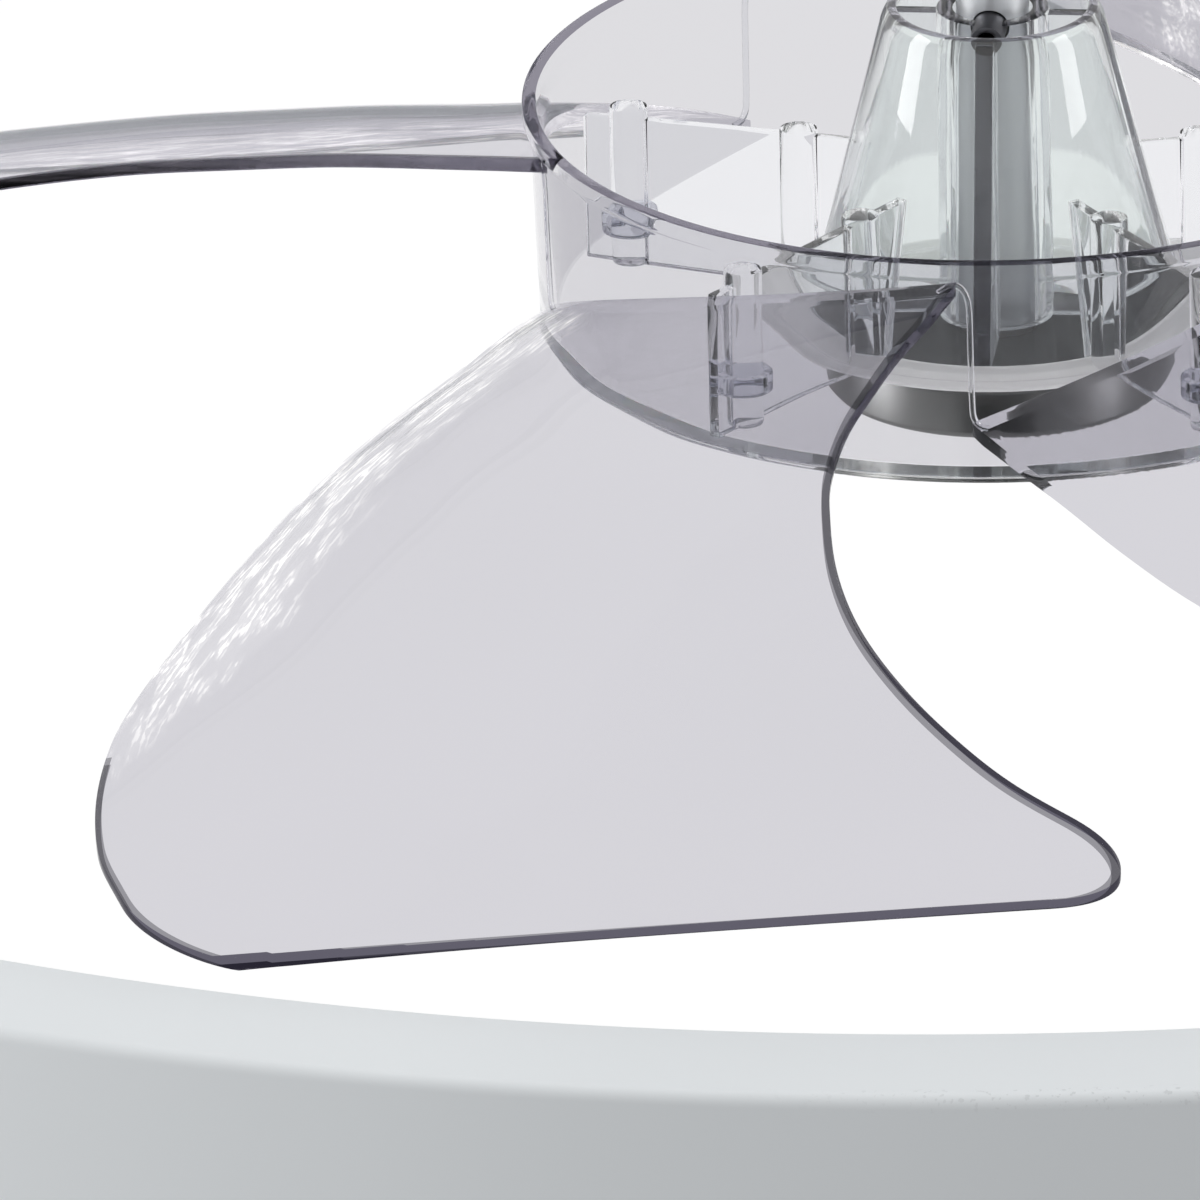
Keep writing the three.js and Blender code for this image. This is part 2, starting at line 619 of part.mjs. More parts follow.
function buildLightRing() {
  const w = RING.wall;
  const e = RING.edge;
  let shell = lathe(
    [
      [RING.outerR, RING.bottom],
      [RING.outerR, RING.top - e],
      [RING.outerR - 0.3 * e, RING.top - 0.3 * e],
      [RING.outerR - e, RING.top],
      [RING.innerR, RING.top],
      [RING.innerR, RING.bottom],
      [RING.innerR + w, RING.bottom],
      [RING.innerR + w, RING.top - w],
      [RING.outerR - w, RING.top - w],
      [RING.outerR - w, RING.bottom],
    ],
    FINE,
  );
  for (const a of ARM.azimuths) {
    const p = polar(POST.at, a, 0);
    shell = shell.subtract(placed(rod(POST.hole, RING.top - 5, RING.top + 3, 16), 0, p.x, p.y));
  }
  piece("ring_shell", shell.translate([0, 0, LEVEL]), ...WHITE);

  const inR = RING.innerR + w + GAP;
  const outR = RING.outerR - w - GAP;
  const d = DIFFUSER.wall;
  const diffuser = lathe(
    [
      [inR + 1.5, DIFFUSER.bottom],
      [outR - 1.5, DIFFUSER.bottom],
      [outR, DIFFUSER.bottom + 1.8],
      [outR, DIFFUSER.lip],
      [outR - d, DIFFUSER.lip],
      [outR - d, DIFFUSER.bottom + d],
      [inR + d, DIFFUSER.bottom + d],
      [inR + d, DIFFUSER.lip],
      [inR, DIFFUSER.lip],
      [inR, DIFFUSER.bottom + 1.8],
    ],
    FINE,
  );
  piece("ring_diffuser", diffuser.translate([0, 0, LEVEL]), 0xf4f5f3, 0.55, 0);

  const board = [ring(RING.innerR + w + LED.margin, RING.outerR - w - LED.margin, LED.low, LED.high, FINE)];
  const chipAt = -POST.at;
  const half = LED.chip / 2;
  for (let i = 0; i < LED.count; i++) {
    const chip = box(0.2 - half, half - 0.2, chipAt - half, chipAt + half, LED.low - 1, LED.low + 0.5);
    board.push(placed(chip, (360 / LED.count) * i + 2));
  }
  const led = join(board);
  piece("led_board", led.translate([0, 0, LEVEL]), 0xe9e7dc, 0.55, 0.1);

  ARM.azimuths.forEach((a, i) => {
    const p = polar(POST.at, a, 0);
    const top = ARM.high;
    const post = lathe(
      [
        [0, RING.top - 11],
        [POST.endR, RING.top - 11],
        [POST.endR, RING.top + GAP],
        [POST.shoulderR, RING.top + GAP],
        [POST.shoulderR, RING.top + 3],
        [POST.r, RING.top + 4.4],
        [POST.r, ARM.low - GAP],
        [POST.endR, ARM.low - GAP],
        [POST.endR, top + 6],
        [0, top + 6],
      ],
      20,
    );
    piece("post_" + (i + 1), placed(post, 0, p.x, p.y, LEVEL), ...STEEL);
    const under = hexagon(5.4, RING.top - w - 6, RING.top - w - GAP)
      .subtract(rod(POST.endR + GAP, RING.top - 20, RING.top, 20));
    piece("ring_nut_" + (i + 1), placed(under, a, p.x, p.y, LEVEL), ...ZINC);
    const dome = join([
      hexagon(6.2, top + GAP, top + 4.6),
      lathe(
        [
          [0, top + 3],
          [5.2, top + 3],
          [5.2, top + 5.4],
          [4.4, top + 8],
          [2.6, top + 9.8],
          [0, top + 10.4],
        ],
        SMALL,
      ),
    ]).subtract(rod(POST.endR + GAP, top - 1, top + 6.4, 20));
    piece("arm_nut_" + (i + 1), placed(dome, a, p.x, p.y, LEVEL), ...CHROME);
  });
}

buildRotor();
buildMotor();
buildCarrier();
buildCanopy();
buildLightRing();

export default group;
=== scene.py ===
"""The looks of a ring ceiling fan: a clear five-blade impeller inside a white light ring.

Sizes are in millimetres while a piece is shaped and become metres when it is published. Heights are
counted from the underside of the impeller's cup, which lies at LEVEL below the ceiling plane.
"""

import logging
import math
from dataclasses import dataclass, field
from enum import Enum
from typing import Callable, Iterable, Sequence

import bmesh
import bpy
from mathutils import Matrix, Vector


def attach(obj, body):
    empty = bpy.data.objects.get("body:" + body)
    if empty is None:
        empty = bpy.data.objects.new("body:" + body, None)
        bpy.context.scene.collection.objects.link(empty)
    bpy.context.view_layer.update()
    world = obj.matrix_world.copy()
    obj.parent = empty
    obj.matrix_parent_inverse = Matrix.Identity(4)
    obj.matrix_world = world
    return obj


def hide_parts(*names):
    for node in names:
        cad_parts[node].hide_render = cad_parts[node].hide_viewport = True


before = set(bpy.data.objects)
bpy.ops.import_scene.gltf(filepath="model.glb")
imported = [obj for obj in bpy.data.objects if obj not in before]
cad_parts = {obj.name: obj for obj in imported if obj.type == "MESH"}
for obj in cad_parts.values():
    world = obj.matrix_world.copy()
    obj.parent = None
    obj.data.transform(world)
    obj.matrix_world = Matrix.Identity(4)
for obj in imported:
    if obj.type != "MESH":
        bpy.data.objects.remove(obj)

log = logging.getLogger("ring_fan")

MM = 0.001  # metres in a millimetre
LEVEL = -150.0  # the underside of the cup, in millimetres from the ceiling plane
TINY = 1e-6  # what counts as on the axis, in millimetres
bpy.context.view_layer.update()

# Face attributes that clear plastic reads.
EDGE_SHADE_LAYER = "edge"  # 1 where the painted dark edge shade goes
NO_GLINT_LAYER = "no_glint"  # 1 where no painted glints go
LIGHTENED_LAYER = "lightened"  # 1 where the painted lighter tint goes
FLOW_MAP = "flow"  # UV map that the flow marks and their painted glints follow

Point2 = tuple[float, float]
Point3 = tuple[float, float, float]
Colour = tuple[float, float, float]
FaceTest = Callable[[Vector, Vector], bool]  # tells a face by its middle and its normal
BLACK: Colour = (0.0, 0.0, 0.0)


class Body(Enum):
    """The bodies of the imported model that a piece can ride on."""

    ROTOR = "rotor"
    FRAME = "frame"


class Slot(Enum):
    """The record's material slots that the pieces of this script use."""

    CLEAR = "clear_plastic"
    PAINT = "white_paint"
    SHAFT = "shaft_steel"
    ZINC = "zinc"
    CHROME = "chrome"
    RUBBER = "rubber"
    OPAL = "opal"
    PLASTIC = "pale_plastic"


# ---------------------------------------------------------------------------------------------
# Shader groups
# ---------------------------------------------------------------------------------------------


class TreeBuilder:
    """Places nodes in a shader tree and joins them."""

    def __init__(self, tree: bpy.types.NodeTree) -> None:
        """Keep the tree.

        Args:
            tree: The tree that gets the nodes.
        """
        self.tree = tree

    def node(self, kind: str, **settings: object) -> bpy.types.Node:
        """Add a node and set its properties.

        Args:
            kind: The node's type, without the ShaderNode that starts it.
            settings: Its properties by name.

        Returns:
            The node.
        """
        made = self.tree.nodes.new("ShaderNode" + kind)
        for key, value in settings.items():
            setattr(made, key, value)
        return made

    def link(self, source: bpy.types.NodeSocket, target: bpy.types.NodeSocket) -> None:
        """Join two sockets."""
        self.tree.links.new(source, target)

    def feed(self, target: bpy.types.NodeSocket, value: object) -> None:
        """Link a socket or set its value.

        Args:
            target: The socket.
            value: A socket to link it to, or its value.
        """
        if isinstance(value, bpy.types.NodeSocket):
            self.link(value, target)
        else:
            target.default_value = value


class GroupBuilder(TreeBuilder):
    """Builds one shader node group with named inputs and outputs."""

    def __init__(self, name: str) -> None:
        """Start an empty group.

        Args:
            name: The group's name.
        """
        super().__init__(bpy.data.node_groups.new(name, "ShaderNodeTree"))
        self.inlet = self.tree.nodes.new("NodeGroupInput")
        self.outlet = self.tree.nodes.new("NodeGroupOutput")

    def socket(self, name: str, kind: str, default: object = None, output: bool = False) -> None:
        """Add a socket to the group's interface.

        Args:
            name: The socket's name.
            kind: "Float", "Color" or "Vector".
            default: The value used when nothing is linked.
            output: True for an output socket.
        """
        made = self.tree.interface.new_socket(
            name=name, in_out="OUTPUT" if output else "INPUT", socket_type="NodeSocket" + kind
        )
        if default is not None:
            made.default_value = default

    def math(self, operation: str, a: object, b: object = 0.0) -> bpy.types.NodeSocket:
        """Add a Math node.

        Args:
            operation: The Math node's operation.
            a: A socket or a number.
            b: A socket or a number.

        Returns:
            The node's output socket.
        """
        made = self.node("Math", operation=operation)
        for socket, value in zip(made.inputs, (a, b)):
            self.feed(socket, value)
        return made.outputs[0]

    def ramp(self, value: bpy.types.NodeSocket, low: float, high: float) -> bpy.types.NodeSocket:
        """Map a value smoothly from 0 at low to 1 at high.

        Args:
            value: The value's socket.
            low: Where the result is 0.
            high: Where the result is 1.

        Returns:
            The mapped value's socket.
        """
        made = self.node("MapRange", interpolation_type="SMOOTHSTEP")
        self.link(value, made.inputs["Value"])
        made.inputs["From Min"].default_value = low
        made.inputs["From Max"].default_value = high
        return made.outputs["Result"]

    def noise(
        self, scale: object, detail: float, vector: bpy.types.NodeSocket
    ) -> bpy.types.NodeSocket:
        """Add a noise texture.

        Args:
            scale: A socket or a number.
            detail: The noise's detail.
            vector: Where the noise is read.

        Returns:
            The noise value's socket.
        """
        made = self.node("TexNoise")
        self.link(vector, made.inputs["Vector"])
        made.inputs["Detail"].default_value = detail
        self.feed(made.inputs["Scale"], scale)
        return made.outputs["Fac"]


def surface_grain_group() -> bpy.types.NodeTree:
    """Build the fine unevenness of a moulded, painted or cast surface.

    Returns:
        A group that puts out a colour mask, a roughness value and a height.
    """
    g = GroupBuilder("surface_grain")
    g.socket("Scale", "Float", 400.0)
    g.socket("Roughness", "Float", 0.4)
    g.socket("Spread", "Float", 0.06)
    g.socket("Mottle", "Float", output=True)
    g.socket("Rough", "Float", output=True)
    g.socket("Height", "Float", output=True)
    place = g.node("TexCoord").outputs["Object"]
    fine = g.noise(g.inlet.outputs["Scale"], 4.0, place)
    broad = g.noise(14.0, 2.0, place)
    g.link(g.ramp(broad, 0.3, 0.75), g.outlet.inputs["Mottle"])
    swing = g.math("MULTIPLY", g.math("SUBTRACT", broad, 0.5), g.inlet.outputs["Spread"])
    g.link(g.math("ADD", g.inlet.outputs["Roughness"], swing), g.outlet.inputs["Rough"])
    g.link(fine, g.outlet.inputs["Height"])
    return g.tree


def turned_metal_group() -> bpy.types.NodeTree:
    """Build the circular tool marks of a turned or brushed metal piece.

    Returns:
        A group that puts out a tone mask, a roughness value and a height.
    """
    g = GroupBuilder("turned_metal")
    g.socket("Stretch", "Vector", (60.0, 60.0, 900.0))
    g.socket("Roughness", "Float", 0.3)
    g.socket("Tone", "Float", output=True)
    g.socket("Rough", "Float", output=True)
    g.socket("Height", "Float", output=True)
    place = g.node("TexCoord").outputs["Object"]
    scaled = g.node("VectorMath", operation="MULTIPLY")
    g.link(place, scaled.inputs[0])
    g.link(g.inlet.outputs["Stretch"], scaled.inputs[1])
    marks = g.noise(1.0, 3.0, scaled.outputs[0])
    g.link(marks, g.outlet.inputs["Tone"])
    swing = g.math("MULTIPLY", g.math("SUBTRACT", marks, 0.5), 0.22)
    g.link(g.math("ADD", g.inlet.outputs["Roughness"], swing), g.outlet.inputs["Rough"])
    g.link(marks, g.outlet.inputs["Height"])
    return g.tree


def chipped_edge_group() -> bpy.types.NodeTree:
    """Build the small chips in the paint along a ring's outer top edge.

    Returns:
        A group that puts out a mask, 1 in a chip.
    """
    g = GroupBuilder("chipped_edge")
    g.socket("Radius", "Float", 0.2585)
    g.socket("Height", "Float", -0.1365)
    g.socket("Reach", "Float", 0.0016)
    g.socket("Chip", "Float", output=True)
    place = g.node("TexCoord").outputs["Object"]
    split = g.node("SeparateXYZ")
    g.link(place, split.inputs[0])
    flat = g.node("CombineXYZ")
    g.link(split.outputs["X"], flat.inputs["X"])
    g.link(split.outputs["Y"], flat.inputs["Y"])
    length = g.node("VectorMath", operation="LENGTH")
    g.link(flat.outputs[0], length.inputs[0])
    off_r = g.math("SUBTRACT", length.outputs["Value"], g.inlet.outputs["Radius"])
    off_z = g.math("SUBTRACT", split.outputs["Z"], g.inlet.outputs["Height"])
    squares = g.math("ADD", g.math("MULTIPLY", off_r, off_r), g.math("MULTIPLY", off_z, off_z))
    away = g.math("DIVIDE", g.math("SQRT", squares), g.inlet.outputs["Reach"])
    near = g.math("MAXIMUM", g.math("SUBTRACT", 1.0, away), 0.0)
    patch = g.ramp(g.noise(9.0, 1.0, place), 0.52, 0.62)
    speck = g.ramp(g.noise(1500.0, 2.0, place), 0.6, 0.66)
    g.link(g.math("MULTIPLY", g.math("MULTIPLY", near, patch), speck), g.outlet.inputs["Chip"])
    return g.tree


def flow_marks_and_glints_group() -> bpy.types.NodeTree:
    """Build the flow marks that follow a moulded blade's low edge, with painted glints on them.

    Returns:
        A group that puts out the mask of the painted glint streaks, the mask of the painted glow
        halo round them and the marks' height. It reads the blade's UV map: U along the blade and V
        the distance from the edge, in metres.
    """
    g = GroupBuilder("flow_marks_and_glints")
    g.socket("Reach", "Float", 0.008)
    g.socket("Start", "Float", 0.052)
    g.socket("End", "Float", 0.172)
    g.socket("Glints", "Float", output=True)
    g.socket("GlowHalo", "Float", output=True)
    g.socket("Height", "Float", output=True)
    split = g.node("SeparateXYZ")
    g.link(g.node("UVMap", uv_map=FLOW_MAP).outputs[0], split.inputs[0])
    u, v = split.outputs["X"], split.outputs["Y"]

    def stretched(
        along: float, across: float, detail: float, offset: float = 0.0
    ) -> bpy.types.NodeSocket:
        """Add a noise that is stretched along the blade.

        Args:
            along: Its scale along the blade, per metre.
            across: Its scale away from the edge, per metre.
            detail: The noise's detail.
            offset: What sets it apart from the other noises.

        Returns:
            The noise value's socket.
        """
        place = g.node("CombineXYZ")
        g.link(g.math("MULTIPLY", u, along), place.inputs["X"])
        g.link(g.math("MULTIPLY", v, across), place.inputs["Y"])
        place.inputs["Z"].default_value = offset
        return g.noise(1.0, detail, place.outputs[0])

    uneven = stretched(70.0, 160.0, 2.0, 3.0)
    wander = g.math("MULTIPLY", g.math("SUBTRACT", uneven, 0.5), 0.9)
    far = g.math("MULTIPLY", g.inlet.outputs["Reach"], g.math("ADD", wander, 1.0))
    before = g.math("DIVIDE", g.math("SUBTRACT", u, g.inlet.outputs["Start"]), 0.006)
    after = g.math("DIVIDE", g.math("SUBTRACT", g.inlet.outputs["End"], u), 0.05)
    ends = g.math("MULTIPLY", g.ramp(before, -0.6, 0.6), g.ramp(after, 0.0, 1.0))
    reach = g.math("MULTIPLY", far, g.math("MAXIMUM", ends, 0.05))
    inside = g.math("SUBTRACT", 1.0, g.math("DIVIDE", v, reach))
    zone = g.math("MULTIPLY", g.ramp(inside, -0.05, 0.45), ends)
    # Painted glints: bright streaks and a halo round them, which the material gives off as light;
    # the height is the marks' real relief.
    bunch = g.ramp(stretched(95.0, 330.0, 2.0), 0.42, 0.58)
    fine = stretched(300.0, 1500.0, 3.0, 7.0)
    streak = g.ramp(fine, 0.48, 0.6)
    g.link(g.math("MULTIPLY", g.math("MULTIPLY", streak, bunch), zone), g.outlet.inputs["Glints"])
    soft = g.math("ADD", g.math("MULTIPLY", bunch, 0.6), 0.4)
    g.link(g.math("MULTIPLY", zone, soft), g.outlet.inputs["GlowHalo"])
    g.link(g.math("MULTIPLY", fine, zone), g.outlet.inputs["Height"])
    return g.tree


class Groups:
    """The shader groups that more than one finish uses, each built once."""

    _made: dict[str, bpy.types.NodeTree] = {}
    _makers: dict[str, Callable[[], bpy.types.NodeTree]] = {
        "surface_grain": surface_grain_group,
        "turned_metal": turned_metal_group,
        "chipped_edge": chipped_edge_group,
        "flow_marks_and_glints": flow_marks_and_glints_group,
    }

    @classmethod
    def get(cls, name: str) -> bpy.types.NodeTree:
        """Give a group, built the first time.

        Args:
            name: The group's name.

        Returns:
            The group.
        """
        if name not in cls._made:
            cls._made[name] = cls._makers[name]()
        return cls._made[name]


# ---------------------------------------------------------------------------------------------
# Finishes
# ---------------------------------------------------------------------------------------------


class MaterialBuilder(TreeBuilder):
    """A material with a Principled shader and helpers to place nodes around it."""

    def __init__(self, name: str) -> None:
        """Start a material.

        Args:
            name: The material's name.
        """
        self.material = bpy.data.materials.new(name)
        self.material.use_nodes = True
        super().__init__(self.material.node_tree)
        self.shader = self.tree.nodes["Principled BSDF"]

    def set(self, **values: object) -> None:
        """Set sockets of the shader by name, with underscores for spaces."""
        for key, value in values.items():
            self.shader.inputs[key.replace("_", " ")].default_value = value

    def group(self, name: str, **values: object) -> bpy.types.Node:
        """Place a shared shader group.

        Args:
            name: The group's name.
            values: The values of its inputs.

        Returns:
            The group node.
        """
        made = self.node("Group")
        made.node_tree = Groups.get(name)
        for key, value in values.items():
            made.inputs[key].default_value = value
        return made

    def mix(
        self, factor: bpy.types.NodeSocket, first: object, second: object
    ) -> bpy.types.NodeSocket:
        """Mix two colours.

        Args:
            factor: The share of the second colour.
            first: A colour or a colour socket.
            second: A colour or a colour socket.

        Returns:
            The mixed colour's socket.
        """
        made = self.node("Mix", data_type="RGBA")
        self.link(factor, made.inputs["Factor"])
        for socket, value in ((made.inputs[6], first), (made.inputs[7], second)):
            linked = isinstance(value, bpy.types.NodeSocket)
            self.feed(socket, value if linked else (*value, 1.0))
        return made.outputs[2]

    def layer(self, name: str) -> bpy.types.NodeSocket:
        """Give the socket that reads a face attribute."""
        return self.node("Attribute", attribute_name=name).outputs["Fac"]

    def glow(self, colour: bpy.types.NodeSocket) -> None:
        """Let the surface give off a faint light of its own."""
        self.link(colour, self.shader.inputs["Emission Color"])
        self.set(Emission_Strength=1.0)

    def bump(self, height: bpy.types.NodeSocket, strength: float, distance: float) -> None:
        """Give the shader relief.

        Args:
            height: The height's socket.
            strength: The bump's strength.
            distance: The height of the relief in metres.
        """
        made = self.node("Bump")
        made.inputs["Strength"].default_value = strength
        made.inputs["Distance"].default_value = distance
        self.link(height, made.inputs["Height"])
        self.link(made.outputs["Normal"], self.shader.inputs["Normal"])


@dataclass(frozen=True)
class ClearPlastic:
    """Clear tinted plastic. A sheet shows its colour once, half of it at each of its two faces."""

    name: str
    colour: Colour
    roughness: float = 0.015
    ior: float = 1.3
    clear: float = 1.0  # share of the light that enters and passes
    flow: float = 0.0  # reach of the flow marks and their painted glints from a blade's edge, in metres
    edge: Colour = (0.035, 0.031, 0.052)  # painted dark edge shade for the faces that a piece marks as edges
    lightened: Colour = (0.98, 0.98, 0.985)  # painted light: lighter tint for the faces that a piece marks
    painted_glow: float = 0.0  # painted glow: light that the plastic gives off by itself, towards every side
    mark: Colour = (0.5, 0.49, 0.45)  # painted glint: light that a flow mark gives off
    halo_glow: Colour = (0.15, 0.15, 0.14)  # painted glow of the halo round the flow marks

    def build(self) -> bpy.types.Material:
        """Build the material.

        Returns:
            The material.
        """
        m = MaterialBuilder(self.name)
        m.set(
            Transmission_Weight=self.clear, IOR=self.ior, Roughness=self.roughness, Metallic=0.0
        )
        grain = m.group("surface_grain", Scale=260.0, Roughness=self.roughness, Spread=0.02)
        dimmed = tuple(c * 0.985 for c in self.colour)
        tint = m.mix(grain.outputs["Mottle"], self.colour, dimmed)
        # Painted light: marked faces get a lighter, clearer tint than the rest of the same plastic.
        tint = m.mix(m.layer(LIGHTENED_LAYER), tint, self.lightened)
        # Painted shade: marked faces get the dark edge colour in place of the tint.
        tint = m.mix(m.layer(EDGE_SHADE_LAYER), tint, self.edge)
        # Painted glints: the flow marks and their halo glow with light of their own; the bump is
        # real relief.
        if self.flow > 0:
            marks = m.group("flow_marks_and_glints", Reach=self.flow)
            light = m.mix(marks.outputs["GlowHalo"], BLACK, self.halo_glow)
            light = m.mix(marks.outputs["Glints"], light, self.mark)
            m.glow(m.mix(m.layer(NO_GLINT_LAYER), light, BLACK))
            m.bump(marks.outputs["Height"], 0.2, 0.0002)
        # Painted glow: the plastic gives off a faint light of its own, standing in for a milky
        # highlight.
        elif self.painted_glow > 0:
            m.glow(m.mix(grain.outputs["Mottle"], (self.painted_glow,) * 3, (self.painted_glow * 0.94,) * 3))
        m.link(tint, m.shader.inputs["Base Color"])
        return m.material


@dataclass(frozen=True)
class Paint:
    """Semi-gloss paint or powder coat, with chips where it has an edge that wears."""

    name: str
    colour: Colour
    roughness: float = 0.4
    coat: float = 0.15
    chipped: bool = False
    chip: Colour = (0.12, 0.12, 0.125)  # colour of what shows in a chip

    def build(self) -> bpy.types.Material:
        """Build the material.

        Returns:
            The material.
        """
        m = MaterialBuilder(self.name)
        m.set(Coat_Weight=self.coat, Coat_Roughness=0.25)
        grain = m.group("surface_grain", Scale=900.0, Roughness=self.roughness, Spread=0.1)
        darker = tuple(c * 0.965 for c in self.colour)
        colour = m.mix(grain.outputs["Mottle"], self.colour, darker)
        if self.chipped:
            chips = m.group("chipped_edge")
            colour = m.mix(chips.outputs["Chip"], colour, self.chip)
        m.link(colour, m.shader.inputs["Base Color"])
        m.link(grain.outputs["Rough"], m.shader.inputs["Roughness"])
        m.bump(grain.outputs["Height"], 0.12, 0.00012)
        return m.material


@dataclass(frozen=True)
class Metal:
    """Turned, plated or ground metal."""

    name: str
    colour: Colour
    roughness: float = 0.3
    stretch: Point3 = (60.0, 60.0, 900.0)  # scale of the tool marks along each axis, per metre
    relief: float = 0.25

    def build(self) -> bpy.types.Material:
        """Build the material.

        Returns:
            The material.
        """
        m = MaterialBuilder(self.name)
        m.set(Metallic=1.0)
        marks = m.group("turned_metal", Stretch=self.stretch, Roughness=self.roughness)
        darker = tuple(c * 0.78 for c in self.colour)
        m.link(m.mix(marks.outputs["Tone"], darker, self.colour), m.shader.inputs["Base Color"])
        m.link(marks.outputs["Rough"], m.shader.inputs["Roughness"])
        m.bump(marks.outputs["Height"], self.relief, 0.00008)
        return m.material


@dataclass(frozen=True)
class Moulded:
    """Opaque plastic, rubber, lacquered board or iron with a fine grain."""

    name: str
    colour: Colour
    roughness: float = 0.6
    grain: float = 900.0
    relief: float = 0.3
    subsurface: float = 0.0
    metallic: float = 0.0

    def build(self) -> bpy.types.Material:
        """Build the material.

        Returns:
            The material.
        """
        m = MaterialBuilder(self.name)
        m.set(Metallic=self.metallic, Subsurface_Weight=self.subsurface, Subsurface_Scale=0.004)
        grain = m.group("surface_grain", Scale=self.grain, Roughness=self.roughness, Spread=0.12)
        darker = tuple(c * 0.9 for c in self.colour)
        m.link(m.mix(grain.outputs["Mottle"], self.colour, darker), m.shader.inputs["Base Color"])
        m.link(grain.outputs["Rough"], m.shader.inputs["Roughness"])
        m.bump(grain.outputs["Height"], self.relief, 0.00015)
        return m.material


class Finish(Enum):
    """Every finish of the fan."""

    # The edge colours below are painted dark edge shade. They stand in for the dark that clear
    # plastic shows edge-on.
    BLADE = ClearPlastic(
        "blade_clear", (0.668, 0.66, 0.7), ior=1.04, flow=0.02, edge=(0.022, 0.02, 0.032)
    )
    HUB = ClearPlastic(
        "hub_clear",
        (0.735, 0.73, 0.755),
        ior=1.045,
        edge=(0.1, 0.092, 0.125),
        # painted light: the cup floor gets a lighter tint than the wall
        lightened=(0.93, 0.928, 0.94),
    )
    # painted glow: the cone gives off a faint light, standing in for its milky highlights
    CONE = ClearPlastic(
        "cone_clear", (0.88, 0.91, 0.895), 0.04, ior=1.3, edge=(0.2, 0.19, 0.24), painted_glow=0.035
    )
    WEB = ClearPlastic("web_clear", (0.91, 0.915, 0.93), ior=1.22, edge=(0.06, 0.057, 0.07))
    # painted highlight: the fillet bead glows white where the cone's foot meets the floor
    FILLET = ClearPlastic("fillet_clear", (0.95, 0.95, 0.94), 0.08, ior=1.3, clear=0.45, painted_glow=0.12)
    FOOT = ClearPlastic("foot_clear", (0.74, 0.75, 0.8), 0.03, ior=1.2)
    WHITE = Paint("ring_white", (0.80, 0.825, 0.835), 0.5, 0.0, chipped=True)
    COVER = Paint("cover_white", (0.80, 0.82, 0.83), 0.45)
    STEEL = Metal("shaft_steel", (0.28, 0.28, 0.285), 0.2)
    ZINC = Metal("zinc_plate", (0.55, 0.56, 0.57), 0.36, (300.0, 300.0, 300.0), 0.15)
    CHROME = Metal("nut_chrome", (0.42, 0.43, 0.46), 0.14, (80.0, 80.0, 80.0), 0.1)
    NUT = Metal("nut_steel", (0.2, 0.202, 0.197), 0.36, (80.0, 80.0, 80.0), 0.1)
    PIN = Metal("pin_dark", (0.09, 0.09, 0.1), 0.5, (300.0, 300.0, 300.0), 0.2)
    RUBBER = Moulded("washer_rubber", (0.06, 0.063, 0.07), 0.75)
    CORE = Moulded("core_iron", (0.2, 0.2, 0.21), 0.5, 700.0, 0.2, metallic=0.8)
    MAGNET = Moulded("magnet_black", (0.05, 0.05, 0.055), 0.55)
    COPPER = Metal("winding_copper", (0.62, 0.3, 0.13), 0.35, (120.0, 120.0, 2600.0), 0.5)
    OPAL = Moulded("diffuser_opal", (0.86, 0.865, 0.85), 0.5, 1200.0, 0.15, subsurface=0.4)
    PLASTIC = Moulded("box_plastic", (0.68, 0.69, 0.7), 0.55)
    TERMINAL = Moulded("terminal_plastic", (0.8, 0.79, 0.74), 0.6)
    BOARD = Moulded("led_board", (0.78, 0.77, 0.7), 0.55)

    def material(self) -> bpy.types.Material:
        """Give this finish's material, built the first time."""
        found = bpy.data.materials.get(self.value.name)
        return found or self.value.build()


# ---------------------------------------------------------------------------------------------
# Shaping
# ---------------------------------------------------------------------------------------------


def polar(radius: float, azimuth: float, height: float = 0.0) -> Vector:
    """Give a place from its radius, azimuth and height.

    Args:
        radius: Distance from the axis.
        azimuth: Degrees, 0 towards -Y and growing towards +X.
        height: Height above LEVEL.

    Returns:
        The place in millimetres.
    """
    a = math.radians(azimuth)
    return Vector((radius * math.sin(a), -radius * math.cos(a), LEVEL + height))


def rounded(profile: Sequence[Point2], radius: float, steps: int = 3) -> list[Point2]:
    """Round every corner of a closed profile.

    Args:
        profile: Points of the closed profile.
        radius: The largest corner radius.
        steps: Segments in a corner.

    Returns:
        The rounded profile.
    """
    out: list[Point2] = []
    count = len(profile)
    for i, corner in enumerate(profile):
        here = Vector(corner)
        before = Vector(profile[i - 1]) - here
        after = Vector(profile[(i + 1) % count]) - here
        reach = min(radius, 0.42 * before.length, 0.42 * after.length)
        straight = abs(before.angle(after) - math.pi) < 0.15
        if here.x < TINY or straight:
            out.append(corner)
            continue
        start = here + before.normalized() * reach
        end = here + after.normalized() * reach
        for k in range(steps + 1):
            t = k / steps
            p = start.lerp(here, t).lerp(here.lerp(end, t), t)
            out.append((p.x, p.y))
    return out


def lathe(profile: Sequence[Point2], segments: int = 96) -> bmesh.types.BMesh:
    """Spin a closed profile about the vertical axis.

    Args:
        profile: Points as (radius, height above LEVEL).
        segments: Steps round the full turn.

    Returns:
        A closed bmesh in millimetres.
    """
    bm = bmesh.new()
    verts = [bm.verts.new((r, 0.0, LEVEL + z)) for r, z in profile]
    edges = [bm.edges.new((verts[i - 1], verts[i])) for i in range(len(verts))]
    on_axis = [e for e in edges if all(v.co.x < TINY for v in e.verts)]
    for e in on_axis:
        bm.edges.remove(e)
        edges.remove(e)
    bmesh.ops.spin(
        bm,
        geom=verts + edges,
        cent=(0, 0, 0),
        axis=(0, 0, 1),
        angle=math.tau,
        steps=segments,
        use_merge=True,
    )
    bmesh.ops.remove_doubles(bm, verts=bm.verts, dist=1e-4)
    bmesh.ops.recalc_face_normals(bm, faces=bm.faces)
    return bm


